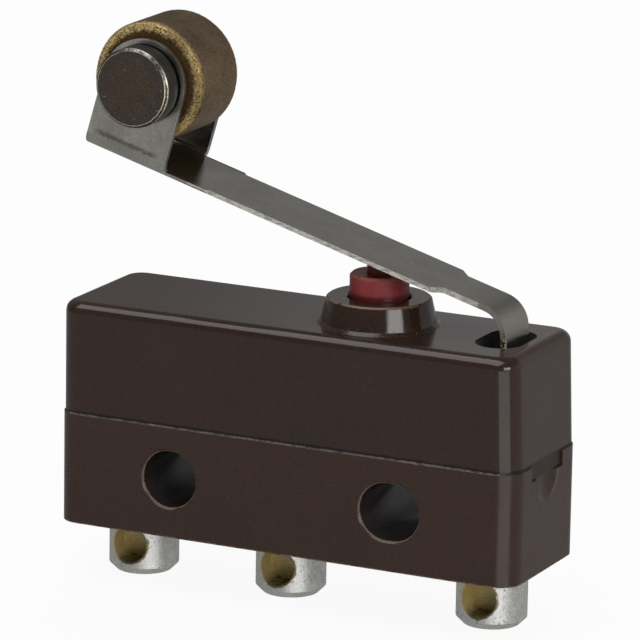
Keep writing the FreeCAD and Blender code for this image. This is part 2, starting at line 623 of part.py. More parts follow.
def make_post(name, place):
    """A turned terminal post: foot with a blind wire hole, shank through the base, peened head."""
    foot = f"({UNDERSIDE} - post_length)"
    grip = f"({FLOOR} + strip)"
    body = new_body(name, x=place)
    turn(body, "XZ_Plane", [("0", foot), ("post_radius - post_chamfer", foot),
                            ("post_radius", f"{foot} + post_chamfer"), ("post_radius", UNDERSIDE),
                            ("shank_radius", UNDERSIDE), ("shank_radius", grip), ("head_radius", grip),
                            ("head_radius", f"{grip} + head_height"), ("0", f"{grip} + head_height")])
    mouth = "(0 - post_radius - overcut)"
    bottom = "(wire_hole_depth - post_radius)"
    turn(body, "XY_Plane", [("0", mouth), ("wire_hole_radius", mouth), ("wire_hole_radius", bottom),
                            ("0", bottom)], "Groove", f"{UNDERSIDE} - wire_hole_drop")


def make_strip(name, side_view, post_place):
    """A contact strip folded from sheet, from the outline of its side, with a hole for its post."""
    body = new_body(name)
    side = new_sketch(body, "XZ_Plane")
    outline(side, side_view)
    pad(side, "strip_width", symmetric=True)
    hole = new_sketch(body, "XY_Plane", FLOOR)
    circle(hole, post_place, "0", "shank_radius")
    pocket(hole, "strip", reverse=True)
    return body


def round_bends(body, places):
    """Round the inside (radius strip_bend) and outside of a strip's bends, given as (x, z, outside)."""
    for outside in (False, True):
        spots = [(number(x), number(z)) for x, z, is_outside in places if is_outside == outside]
        dress(body, "Fillet", "strip_bend + strip" if outside else "strip_bend",
              lambda box: box.XLength < 1e-4 and box.ZLength < 1e-4
              and any(near(box.XMin, x) and near(box.ZMin, z) for x, z in spots))


def make_closed_strip():
    """From its post up the end wall and back over the moving contact."""
    wall = f"({CHAMBER_LEFT} + 2 * lip_gap + lip_wall + plug_gap)"
    high = f"({FIXED_UPPER} + contact_height)"
    upper = f"({high} + strip)"
    inner = f"({wall} + strip)"
    floor_top = f"({FLOOR} + strip)"
    reach = f"({CONTACT} + contact_radius + strip_lap)"
    right = f"({CLOSED_POST} + strip_margin)"
    body = make_strip("normally_closed_strip", [
        (wall, FLOOR), (right, FLOOR), (right, floor_top), (inner, floor_top), (inner, high),
        (reach, high), (reach, upper), (wall, upper)], CLOSED_POST)
    round_bends(body, [(wall, FLOOR, True), (wall, upper, True), (inner, floor_top, False),
                       (inner, high, False)])


def make_open_strip():
    """From its post along the floor, up and on below the moving contact."""
    high = f"({FIXED_LOWER} - contact_height)"
    under = f"({high} - strip)"
    floor_top = f"({FLOOR} + strip)"
    riser = f"({CLOSED_POST} + strip_margin + strip_apart)"
    riser_end = f"({riser} + strip)"
    right = "(open_place + strip_margin)"
    left = f"({CONTACT} - contact_radius)"
    body = make_strip("normally_open_strip", [
        (left, under), (riser, under), (riser, FLOOR), (right, FLOOR), (right, floor_top),
        (riser_end, floor_top), (riser_end, high), (left, high)], "open_place")
    round_bends(body, [(riser, under, False), (riser, FLOOR, True), (riser_end, floor_top, False),
                       (riser_end, high, True)])


def make_common_strip():
    """From its post under the plug into the chamber: a shelf for the blade and an anchor finger."""
    floor_top = f"({FLOOR} + strip)"
    shelf = "(blade_level - strip)"
    left = f"({BLADE_ROOT} - shelf_length)"
    riser = f"({BLADE_ROOT} - strip)"
    body = make_strip("common_strip", [
        ("finger_place", FLOOR), (f"{COMMON_POST} + strip_margin", FLOOR),
        (f"{COMMON_POST} + strip_margin", floor_top), (BLADE_ROOT, floor_top), (BLADE_ROOT, "blade_level"),
        (left, "blade_level"), (left, shelf), (riser, shelf), (riser, floor_top),
        ("finger_place + strip", floor_top), ("finger_place + strip", f"{BLADE_TOP} + finger_top"),
        ("finger_place", f"{BLADE_TOP} + finger_top")], COMMON_POST)
    round_bends(body, [(BLADE_ROOT, "blade_level", True), (riser, shelf, False),
                       ("finger_place", FLOOR, True), ("finger_place + strip", floor_top, False)])
    finger = new_sketch(body, "YZ_Plane", "finger_place - strip_bend")
    for side in (1, -1):
        near_y, far_y = f"{side} * finger_width / 2", f"{side} * strip_width"
        rectangle(finger, *((near_y, far_y) if side > 0 else (far_y, near_y)),
                  f"{floor_top} + 2 * strip_bend", f"{BLADE_TOP} + finger_top + overcut")
    pocket(finger, "strip + 2 * strip_bend", reverse=True)
    holes = new_sketch(body, "XY_Plane", shelf)
    for side in (1, -1):
        circle(holes, RIVET_PLACE, f"{side} * rivet_spread / 2", "rivet_radius")
    pocket(holes, "strip", reverse=True)


def make_blade():
    """The snap spring, one piece of strip: flat frame, window, and a tongue bowed down to the finger."""
    body = new_body("snap_blade")
    plate = new_sketch(body, "XY_Plane", "blade_level")
    rectangle(plate, BLADE_END, BLADE_ROOT, "0 - blade_width / 2", "blade_width / 2")
    pad(plate, "blade")
    window = new_sketch(body, "XY_Plane", "blade_level")
    rectangle(window, WINDOW_START, "window_end", "0 - window_width / 2", "window_width / 2")
    pocket(window, "blade", reverse=True)
    corners = [number(BLADE_END), number(BLADE_ROOT)]
    dress(body, "Fillet", "chamber_corner", lambda box: any(near(box.XMin, x) for x in corners)
          and box.XLength < 1e-4 and box.YLength < 1e-4)
    holes = new_sketch(body, "XY_Plane", "blade_level")
    circle(holes, CONTACT, "0", "contact_tail")
    for side in (1, -1):
        circle(holes, RIVET_PLACE, f"{side} * rivet_spread / 2", "rivet_radius")
    pocket(holes, "blade", reverse=True)
    tongue = new_sketch(body, "XZ_Plane")
    start = WINDOW_START
    finish = "(finger_place - finger_gap)"
    middle = f"(({start} + {finish}) / 2)"
    half_chord = f"(({finish} - {start}) / 2)"
    radius = f"(({half_chord} * {half_chord} + tongue_bow * tongue_bow) / (2 * tongue_bow))"
    centre = f"(blade_level - tongue_bow + {radius})"
    outline(tongue, [(start, "blade_level", middle, centre, 1), (finish, "blade_level"),
                     (finish, BLADE_TOP, middle, f"{centre} + blade", -1), (start, BLADE_TOP)])
    pad(tongue, "tongue_strip", symmetric=True)


def make_button(name, level_of_face, facing):
    """A fixed contact button riveted into the end of its strip, facing up (1) or down (-1)."""
    body = new_body(name, x=CONTACT, z=level_of_face)
    back = f"{facing} * (0 - contact_height)"
    rim = f"{facing} * (0 - contact_edge)"
    turn(body, "XZ_Plane", [("0", "0"), ("contact_radius - contact_edge", "0"), ("contact_radius", rim),
                            ("contact_radius", back), ("0", back)])


def make_moving_contact():
    """The double-faced contact riveted through the blade."""
    body = new_body("moving_contact", x=CONTACT)
    low = "(blade_level - contact_height)"
    high = f"({BLADE_TOP} + contact_height)"
    turn(body, "XZ_Plane", [
        ("0", low), ("contact_radius - contact_edge", low), ("contact_radius", f"{low} + contact_edge"),
        ("contact_radius", "blade_level"), ("contact_tail", "blade_level"), ("contact_tail", BLADE_TOP),
        ("contact_radius", BLADE_TOP), ("contact_radius", f"{high} - contact_edge"),
        ("contact_radius - contact_edge", high), ("0", high)])


def make_clamp():
    """The small plate that spreads the rivets' grip over the blade."""
    body = new_body("blade_clamp_plate")
    plate = new_sketch(body, "XY_Plane", BLADE_TOP)
    rectangle(plate, f"{RIVET_PLACE} - clamp_length / 2", f"{RIVET_PLACE} + clamp_length / 2",
              "0 - shelf_width / 2", "shelf_width / 2")
    for side in (1, -1):
        circle(plate, RIVET_PLACE, f"{side} * rivet_spread / 2", "rivet_radius")
    pad(plate, "clamp_height")


def make_rivet(name, side):
    """A rivet through shelf, blade and clamp plate."""
    body = new_body(name, x=RIVET_PLACE, y=f"{side} * rivet_spread / 2")
    low = "(blade_level - strip)"
    high = f"({BLADE_TOP} + clamp_height)"
    turn(body, "XZ_Plane", [
        ("0", f"{low} - rivet_rise"), ("rivet_crown", f"{low} - rivet_rise"), ("rivet_head", low),
        ("rivet_radius", low), ("rivet_radius", high), ("rivet_head", high),
        ("rivet_crown", f"{high} + rivet_rise"), ("0", f"{high} + rivet_rise")])


make_base()
make_cover()
make_plunger()
make_pivot_pin()
make_lever()
make_roller()
make_axle()
make_post("terminal_common", COMMON_POST)
make_post("terminal_normally_open", "open_place")
make_post("terminal_normally_closed", CLOSED_POST)
make_closed_strip()
make_open_strip()
make_common_strip()
make_blade()
make_button("normally_closed_contact", FIXED_UPPER, -1)
make_button("normally_open_contact", FIXED_LOWER, 1)
make_moving_contact()
make_clamp()
make_rivet("blade_rivet_front", -1)
make_rivet("blade_rivet_back", 1)
doc.recompute()

faults = [thing.Name for thing in doc.Objects if {"Invalid", "Error"} & set(thing.State)]
pieces = [thing for thing in doc.Objects if thing.TypeId == "PartDesign::Body"]
faults += [piece.Label for piece in pieces
           if piece.Shape.isNull() or not piece.Shape.isValid() or len(piece.Shape.Solids) != 1]
if faults:
    raise RuntimeError("not sound: " + ", ".join(faults))

os.makedirs("parts", exist_ok=True)
for piece in pieces:
    piece.Shape.exportStep(f"parts/{piece.Label}.step")
    print(f"{piece.Label}: {piece.Shape.Volume:.3f} mm3, {len(piece.Shape.Faces)} faces")
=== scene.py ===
# %% [markdown]
# # A lever micro switch
# This lesson dresses a small snap switch: a dark moulded case in two halves, a red plunger in a
# collar, a folded steel lever with a sintered roller, and three plated posts.
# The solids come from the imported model, in metres, and every finish here is made from shader nodes.

# %% Load the model
import json
import math

import bpy
from mathutils import Matrix, Vector


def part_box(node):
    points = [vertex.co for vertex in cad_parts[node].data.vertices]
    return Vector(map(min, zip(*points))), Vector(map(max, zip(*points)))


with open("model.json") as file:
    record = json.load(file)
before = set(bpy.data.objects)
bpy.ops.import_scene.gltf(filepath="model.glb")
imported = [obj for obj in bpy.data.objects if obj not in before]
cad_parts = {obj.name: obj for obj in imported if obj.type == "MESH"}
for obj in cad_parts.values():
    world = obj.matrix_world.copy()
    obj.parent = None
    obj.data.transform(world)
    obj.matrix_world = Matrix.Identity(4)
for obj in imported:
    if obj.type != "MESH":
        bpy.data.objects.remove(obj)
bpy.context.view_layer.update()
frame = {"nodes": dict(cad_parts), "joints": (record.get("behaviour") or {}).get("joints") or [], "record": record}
nodes = frame["nodes"]
MM = 0.001

# %% [markdown]
# ## Places read from the model
# A finish often has to sit at one place, such as the rim of a hole or the face of a rivet. Those places
# are read from the joints, the mounts and the boxes of the nodes, so that they follow the model. The
# seam is where the halves meet, a tongue's length above the cover's lowest point, and the deck is the
# flat top of the case.

# %% Places
joints = {joint["name"]: joint for joint in frame["joints"]}
mounts = {mount["name"]: mount for mount in frame["record"]["mounts"]}
roller_axis = Vector(joints["roller_spin"]["pos_m"])
hinge_axis = Vector(joints["lever_pivot"]["pos_m"])
base_low, base_high = (Vector(corner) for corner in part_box("base_housing"))
cover_low, cover_high = (Vector(corner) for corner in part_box("cover_housing"))
plunger_low, plunger_high = (Vector(corner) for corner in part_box("plunger"))
roller_low, roller_high = (Vector(corner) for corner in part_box("roller"))
axle_low = Vector(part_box("roller_axle")[0])
floor_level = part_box("terminal_common")[0][2]
TONGUE_LENGTH = 0.66 * MM
seam = cover_low.z + TONGUE_LENGTH
plunger_axis = (plunger_low + plunger_high) / 2
cover_corners = [vertex.co for vertex in nodes["cover_housing"].data.vertices]
deck = max(corner.z for corner in cover_corners if corner.x > hinge_axis.x)
print("seam and deck in mm:", round(seam / MM, 3), round(deck / MM, 3))
print("roller axis in mm:", [round(value / MM, 3) for value in roller_axis])

# %% [markdown]
# ## A short way to write shader nodes
# Each material below is a small network. `add` makes one node, sets its options and fills its sockets,
# so that a network reads as a list of steps. The other helpers name the steps that come back often:
# a sum, the product or the largest of some masks, a blend of colours, a stretched range, a mottled
# colour, and a coordinate in millimetres. A mask is a value from 0 to 1 that says where a mark lies.

# %% Nodes and sums
def add(tree, kind, sockets=None, **options):
    """Makes a node, sets its options and fills its input sockets with values or links."""
    node = tree.nodes.new(kind)
    for name, value in options.items():
        setattr(node, name, value)
    for name, value in (sockets or {}).items():
        if isinstance(value, bpy.types.NodeSocket):
            tree.links.new(value, node.inputs[name])
        else:
            node.inputs[name].default_value = value
    return node


def sum_of(tree, operation, first, second=0.0, clamp=False):
    """A Math node's result."""
    sockets = {0: first, 1: second}
    return add(tree, "ShaderNodeMath", sockets, operation=operation, use_clamp=clamp).outputs[0]


def vector_sum(tree, operation, first, second=(0, 0, 0)):
    """A Vector Math node's vector result."""
    return add(tree, "ShaderNodeVectorMath", {0: first, 1: second}, operation=operation).outputs[0]


def dot(tree, first, second):
    """How far one vector goes along another."""
    node = add(tree, "ShaderNodeVectorMath", {0: first, 1: second}, operation="DOT_PRODUCT")
    return node.outputs["Value"]

# %% Masks and colours
def both(tree, *masks):
    """The product of two or more masks or shares."""
    result = masks[0]
    for mask in masks[1:]:
        result = sum_of(tree, "MULTIPLY", result, mask)
    return result


def most(tree, *masks):
    """The largest of two or more masks."""
    result = masks[0]
    for mask in masks[1:]:
        result = sum_of(tree, "MAXIMUM", result, mask)
    return result


def paint(tree, colour, share, other, mode="MIX"):
    """A colour with another laid over it by a share."""
    node = add(tree, "ShaderNodeMix", {0: share, 6: colour, 7: other}, data_type="RGBA", blend_type=mode)
    return node.outputs[2]


def spread(tree, value, low, high, to_low=0.0, to_high=1.0):
    """A value stretched from one range to another and held inside it."""
    sockets = {"Value": value, "From Min": low, "From Max": high, "To Min": to_low, "To Max": to_high}
    return add(tree, "ShaderNodeMapRange", sockets, clamp=True).outputs[0]


def mottle(tree, colour, noise, darkest, lightest):
    """A colour made darker and lighter by a noise, between two factors."""
    return paint(tree, colour, 1.0, spread(tree, noise, 0.0, 1.0, darkest, lightest), mode="MULTIPLY")

# %% Places and directions
def place_of(tree):
    """The point on the model, in metres."""
    return add(tree, "ShaderNodeTexCoord").outputs["Object"]


def along(tree, direction, start=(0, 0, 0)):
    """How far a point lies along a direction from a start, in millimetres."""
    offset = vector_sum(tree, "SUBTRACT", place_of(tree), start)
    return sum_of(tree, "DIVIDE", dot(tree, offset, direction), MM)


def facing(tree, direction):
    """How squarely the surface faces along a direction of the model, either way."""
    normal = add(tree, "ShaderNodeTexCoord").outputs["Normal"]
    return sum_of(tree, "ABSOLUTE", dot(tree, normal, direction))


SIDEWAYS, FORWARD, UPWARD = (1, 0, 0), (0, 1, 0), (0, 0, 1)


def off_middle(tree):
    """How far a point lies from the middle plane of the switch, on either side, in millimetres."""
    return sum_of(tree, "ABSOLUTE", along(tree, FORWARD))

# %% Node groups
def shader_group(name, inputs, outputs):
    """Starts a node group with named inputs (name, kind, default) and outputs (name, kind)."""
    tree = bpy.data.node_groups.new(name, "ShaderNodeTree")
    for label, kind, default in inputs:
        socket = tree.interface.new_socket(label, in_out="INPUT", socket_type="NodeSocket" + kind)
        socket.default_value = default
    for label, kind in outputs:
        tree.interface.new_socket(label, in_out="OUTPUT", socket_type="NodeSocket" + kind)
    return tree, tree.nodes.new("NodeGroupInput").outputs, tree.nodes.new("NodeGroupOutput").inputs


def use(tree, group, output, **inputs):
    """Places a node group in a tree and returns one of its outputs. Underscores stand for spaces."""
    node = add(tree, "ShaderNodeGroup", node_tree=group)
    for name, value in inputs.items():
        socket = node.inputs[name.replace("_", " ")]
        if isinstance(value, bpy.types.NodeSocket):
            tree.links.new(value, socket)
        else:
            socket.default_value = value
    return node.outputs[output]

# %% [markdown]
# ## Effects that several finishes share
# Moulded resin, sheet steel and sintered bronze look different, but they are told by the same few
# effects: a fine grain, pits, worn edges, ragged lines and rings about an axis. Each effect is one node
# group, and each material places it with its own values. Sizes are given in millimetres.

# %% Grain
def make_grain():
    """Noise with grains of a given size, in millimetres, stretched along each axis as wished."""
    tree, given, result = shader_group(
        "grain",
        [("Size", "Float", 0.1), ("Stretch", "Vector", (1, 1, 1)), ("Detail", "Float", 3.0)],
        [("Value", "Float")])
    stretched = vector_sum(tree, "DIVIDE", place_of(tree), given["Stretch"])
    frequency = sum_of(tree, "DIVIDE", 1 / MM, given["Size"])
    sockets = {"Vector": stretched, "Scale": frequency, "Detail": given["Detail"], "Roughness": 0.6}
    texture = add(tree, "ShaderNodeTexNoise", sockets)
    tree.links.new(spread(tree, texture.outputs[0], 0.25, 0.75), result["Value"])
    return tree


grain = make_grain()

# %% Pits
def make_pits():
    """Scattered pits: 1 in a pit and 0 between them. Share says how much of the surface they take."""
    tree, given, result = shader_group(
        "pits",
        [("Size", "Float", 0.1), ("Share", "Float", 0.3), ("Softness", "Float", 0.1)],
        [("Mask", "Float")])
    coarse = use(tree, grain, "Value", Size=given["Size"], Detail=1.0)
    fine = use(tree, grain, "Value", Size=both(tree, given["Size"], 0.35), Detail=2.0)
    mixed = sum_of(tree, "ADD", both(tree, coarse, 0.6), both(tree, fine, 0.4))
    upper = sum_of(tree, "ADD", given["Share"], given["Softness"])
    tree.links.new(spread(tree, mixed, given["Share"], upper, 1.0, 0.0), result["Mask"])
    return tree


pits = make_pits()

# %% Worn edges
def make_edge_wear():
    """Finds sharp edges by rounding the normal: 1 on a worn edge and 0 on the flats."""
    tree, given, result = shader_group(
        "edge wear",
        [("Reach", "Float", 0.05), ("Raggedness", "Float", 0.5), ("Size", "Float", 0.3)],
        [("Mask", "Float")])
    rounded = add(tree, "ShaderNodeBevel", {"Radius": both(tree, given["Reach"], MM)}, samples=6).outputs[0]
    true = add(tree, "ShaderNodeNewGeometry").outputs["True Normal"]
    edge = spread(tree, dot(tree, rounded, true), 0.995, 0.9)
    patches = use(tree, grain, "Value", Size=given["Size"], Detail=4.0)
    holding = sum_of(tree, "SUBTRACT", 1.0, both(tree, given["Raggedness"], patches))
    tree.links.new(sum_of(tree, "MULTIPLY", edge, holding, clamp=True), result["Mask"])
    return tree


edge_wear = make_edge_wear()

# %% Ragged line
def make_ragged_line():
    """1 where a measure lies between two values. Its borders wander, and it is broken in places."""
    tree, given, result = shader_group(
        "ragged line",
        [("Measure", "Float", 0.0), ("From", "Float", 0.0), ("To", "Float", 1.0), ("Wander", "Float", 0.03),
         ("Size", "Float", 0.1), ("Soft", "Float", 0.015), ("Broken", "Float", 0.2)],
        [("Mask", "Float")])
    noise = use(tree, grain, "Value", Size=given["Size"], Detail=3.0)
    shift = both(tree, sum_of(tree, "SUBTRACT", noise, 0.5), given["Wander"])
    measure = sum_of(tree, "ADD", given["Measure"], shift)
    rise = spread(tree, measure, given["From"], sum_of(tree, "ADD", given["From"], given["Soft"]))
    fall = spread(tree, measure, sum_of(tree, "SUBTRACT", given["To"], given["Soft"]), given["To"], 1.0, 0.0)
    patches = use(tree, grain, "Value", Size=both(tree, given["Size"], 4.0), Detail=3.0)
    whole = spread(tree, patches, sum_of(tree, "SUBTRACT", given["Broken"], 0.15), given["Broken"])
    tree.links.new(both(tree, rise, fall, whole), result["Mask"])
    return tree


ragged_line = make_ragged_line()

# %% Distance from an axis
def make_reach():
    """Distance from an axis, in millimetres. Across holds 0 along the axis and 1 across it."""
    tree, given, result = shader_group(
        "reach",
        [("Centre", "Vector", (0, 0, 0)), ("Across", "Vector", (1, 0, 1)), ("Half slot", "Float", 0.0)],
        [("Distance", "Float")])
    offset = vector_sum(tree, "SUBTRACT", place_of(tree), given["Centre"])
    flat = vector_sum(tree, "MULTIPLY", offset, given["Across"])
    parts = add(tree, "ShaderNodeSeparateXYZ", {0: flat}).outputs
    half = both(tree, given["Half slot"], MM)
    past_half = sum_of(tree, "SUBTRACT", sum_of(tree, "ABSOLUTE", parts["X"]), half)
    beyond = sum_of(tree, "MAXIMUM", past_half, 0.0)
    folded = add(tree, "ShaderNodeCombineXYZ", {0: beyond, 1: parts["Y"], 2: parts["Z"]}).outputs[0]
    length = add(tree, "ShaderNodeVectorMath", {0: folded}, operation="LENGTH").outputs["Value"]
    tree.links.new(sum_of(tree, "DIVIDE", length, MM), result["Distance"])
    return tree


reach = make_reach()
AROUND_X, AROUND_Y, AROUND_Z = (0, 1, 1), (1, 0, 1), (1, 1, 0)
print("node groups:", [group.name for group in bpy.data.node_groups])

# %% [markdown]
# ## Starting a material
# Every finish ends in one Principled shader. Values that are the same all over are set on its own
# sockets, and only what changes over the surface is linked.

# %% Material starter
def start_material(name, **values):
    """A new material with one Principled shader. Returns the material, its tree and the shader."""
    material = bpy.data.materials.new(name)
    material.use_nodes = True
    tree = material.node_tree
    shader = tree.nodes["Principled BSDF"]
    for socket, value in values.items():
        shader.inputs[socket.replace("_", " ")].default_value = value
    return material, tree, shader


def bump(tree, shader, height, depth):
    """Feeds a height, 0 to 1, to the shader as bumps of a depth in millimetres."""
    node = add(tree, "ShaderNodeBump", {"Height": height, "Distance": depth * MM, "Strength": 1.0})
    tree.links.new(node.outputs[0], shader.inputs["Normal"])


def dress(material, *names):
    """Gives a material to nodes of the model."""
    for name in names:
        mesh = nodes[name].data
        mesh.materials.clear()
        mesh.materials.append(material)
    print(material.name, "on", ", ".join(names))

# %% [markdown]
# ## The moulded case
# Both halves are a dark brown thermoset. The cover is polished, so it mirrors the lamps and the collar,
# and the base is duller. The colour drifts a little and a fine filler shows. Where the flash was trimmed,
# along the seam, round the holes and on the collar, the resin is left bare and tan in a thin ragged line.
# Each line is a measure, such as the height or the distance from an axis, fed to the ragged line group.

# %% Resin body
BASE_DARK, BASE_LIGHT = (0.0368, 0.0183, 0.0128, 1), (0.0436, 0.0219, 0.0152, 1)
COVER_DARK, COVER_LIGHT = (0.0310, 0.0172, 0.0129, 1), (0.0366, 0.0204, 0.0151, 1)
TONGUE_BROWN = (0.024, 0.015, 0.012, 1)
BARE_RESIN = (0.17, 0.115, 0.072, 1)
DUSTY_RESIN = (0.095, 0.078, 0.066, 1)
LIP_HIGHLIGHT_GREY = (0.15, 0.135, 0.125, 1)
BORE_SHADE = (0.0125, 0.012, 0.012, 1)
POCKET_WALL_LIGHT = (0.085, 0.088, 0.095, 1)
GRIME = (0.006, 0.005, 0.0045, 1)
FILLER_SIZE = 0.055


def start_resin(name, dark, light):
    """The resin's drifting colour with its fine filler. Returns the material's parts and the colour."""
    material, tree, shader = start_material(name, Specular_IOR_Level=0.5)
    colour = paint(tree, dark, use(tree, grain, "Value", Size=2.5, Detail=3.0), light)
    filler = use(tree, grain, "Value", Size=FILLER_SIZE, Detail=2.0)
    return material, tree, shader, mottle(tree, colour, filler, 0.62, 1.38), filler


def finish_resin(tree, shader, colour, bare, filler, smooth, rough, wave_depth):
    """Links colour, roughness and bumps. Bare resin is rough, and the rest is handled unevenly."""
    tree.links.new(colour, shader.inputs["Base Color"])
    handling = use(tree, grain, "Value", Size=1.1, Detail=5.0)
    gloss = spread(tree, handling, 0.2, 0.9, smooth, rough)
    roughness = sum_of(tree, "ADD", gloss, both(tree, bare, 0.4), clamp=True)
    tree.links.new(roughness, shader.inputs["Roughness"])
    waves = use(tree, grain, "Value", Size=1.6, Detail=1.0)
    height = sum_of(tree, "ADD", both(tree, waves, wave_depth), both(tree, filler, 0.3))
    bump(tree, shader, sum_of(tree, "ADD", height, bare), 0.004)

# %% [markdown]
# ### The base
# The seam is drawn twice: a dark band of grime just under the edge, and on it, along the sides, the dusty
# remains of the flash. Each screw hole has a bare tan mouth, and painted shade darkens its bore. The hinge end
# has a pocket for the cover's tongue, with a dark line below it and a painted highlight on the lip of a scoop.

# %% Screw holes
HOLE_RADIUS = mounts["mounting_hole"]["dims"]["r_mm"]
HALF_SLOT = 0.125
BASE_FACE = 3.07
print("screw holes of radius", HOLE_RADIUS, "mm")


def mark_holes(tree, colour, bare):
    """Adds the bare mouths of the two screw holes, and painted shade that darkens their bores. The second hole is
    a short slot.
    """
    for hole, half_slot in (("mounting_hole", 0.0), ("mounting_slot", HALF_SLOT)):
        distance = use(tree, reach, "Distance", Centre=mounts[hole]["pos_m"], Across=AROUND_Y,
                       Half_slot=half_slot)
        mouth = use(tree, ragged_line, "Mask", Measure=distance, From=HOLE_RADIUS - 0.01,
                    To=HOLE_RADIUS + 0.045, Wander=0.05, Size=0.1, Broken=0.2)
        mouth = both(tree, mouth, spread(tree, off_middle(tree), BASE_FACE - 0.02, BASE_FACE))
        bare = most(tree, bare, both(tree, mouth, 0.9))
        # Painted shade darkens the inside of each bore.
        in_bore = spread(tree, distance, HOLE_RADIUS + 0.01, HOLE_RADIUS - 0.005, 0.0, 0.85)
        colour = paint(tree, colour, in_bore, BORE_SHADE)
    return colour, bare

# %% Hinge end
TONGUE_HALF_WIDTH = 1.44
SCOOP_RADIUS = 1.14


def mark_hinge_end(tree, colour):
    """Adds the dark line below the cover's tongue and a painted highlight on the lip of the scoop, on the end
    face.
    """
    below_cover = along(tree, UPWARD, cover_low)
    on_end = both(tree, spread(tree, facing(tree, SIDEWAYS), 0.7, 0.85),
                  spread(tree, along(tree, SIDEWAYS, base_high), -0.4, -0.3))
    under = use(tree, ragged_line, "Mask", Measure=below_cover, From=-0.05, To=0.03, Wander=0.03, Size=0.15,
                Broken=0.0)
    in_width = spread(tree, off_middle(tree), TONGUE_HALF_WIDTH + 0.03, TONGUE_HALF_WIDTH)
    colour = paint(tree, colour, both(tree, under, on_end, in_width), GRIME)
    scoop = use(tree, reach, "Distance", Centre=(0, 0, cover_low.z), Across=AROUND_X)
    # Painted highlight: a pale ragged arc along the lip of the scoop.
    lip = use(tree, ragged_line, "Mask", Measure=scoop, From=SCOOP_RADIUS - 0.16, To=SCOOP_RADIUS,
              Wander=0.04, Size=0.3, Soft=0.07, Broken=0.0)
    lit_part = both(tree, spread(tree, along(tree, FORWARD), 0.1, 0.7), spread(tree, below_cover, 0.0, -0.1))
    return paint(tree, colour, both(tree, lip, on_end, lit_part, 0.55), LIP_HIGHLIGHT_GREY)

# %% Base resin
def make_base_resin():
    """Satin resin with bare ragged lines along the seam and round the mouths of the holes."""
    material, tree, shader, colour, filler = start_resin("base resin", BASE_DARK, BASE_LIGHT)
    height = along(tree, UPWARD, (0, 0, seam))
    outside = spread(tree, facing(tree, UPWARD), 0.95, 0.85)
    rim = both(tree, spread(tree, height, -0.11, -0.08), outside)
    colour = paint(tree, colour, both(tree, rim, 0.6), GRIME)
    long_sides = spread(tree, facing(tree, FORWARD), 0.45, 0.6)
    trimmed = use(tree, ragged_line, "Mask", Measure=height, From=-0.10, To=-0.02, Wander=0.08, Size=0.07,
                  Broken=0.48)
    trimmed = both(tree, trimmed, outside, long_sides)
    colour = paint(tree, colour, both(tree, trimmed, 0.85), DUSTY_RESIN)
    patches = use(tree, pits, "Mask", Size=0.5, Share=0.4, Softness=0.05)
    scuffed = use(tree, ragged_line, "Mask", Measure=along(tree, UPWARD, base_low), From=-0.04, To=0.05,
                  Wander=0.06, Size=0.1, Broken=0.47)
    bare = most(tree, both(tree, trimmed, patches, 0.6), both(tree, scuffed, outside))
    colour, bare = mark_holes(tree, colour, bare)
    worn = use(tree, edge_wear, "Mask", Reach=0.04, Raggedness=1.6, Size=0.2)
    bare = most(tree, bare, both(tree, worn, 0.25))
    colour = mark_hinge_end(tree, colour)
    colour = paint(tree, colour, bare, BARE_RESIN)
    finish_resin(tree, shader, colour, most(tree, bare, rim), filler, smooth=0.20, rough=0.30, wave_depth=0.3)
    return material


dress(make_base_resin(), "base_housing")

# %% [markdown]
# ### The cover
# The cover's lowest edge holds grime, and its tongue is matt where it was broken from the mould. The
# collar round the plunger keeps a tan line on its top edge and moulding dust at its foot. The walls of
# the lever's pocket get a painted light, a cool grey in place of the light that falls into it.

# %% The lever's pocket
POCKET_HALF_WIDTH = 1.65


def find_pocket(tree):
    """1 on the walls of the pocket that the lever's leg goes into."""
    past_bend = spread(tree, along(tree, SIDEWAYS, hinge_axis), -1.9, -1.8)
    in_width = spread(tree, off_middle(tree), POCKET_HALF_WIDTH + 0.05, POCKET_HALF_WIDTH)
    below_deck = spread(tree, along(tree, UPWARD, (0, 0, deck)), -0.03, -0.08)
    inside_end = spread(tree, along(tree, SIDEWAYS, cover_high), -0.6, -0.7)
    return both(tree, past_bend, in_width, below_deck, inside_end)

# %% Cover resin
COLLAR_EDGE = 2.06
COLLAR_FOOT = 2.3


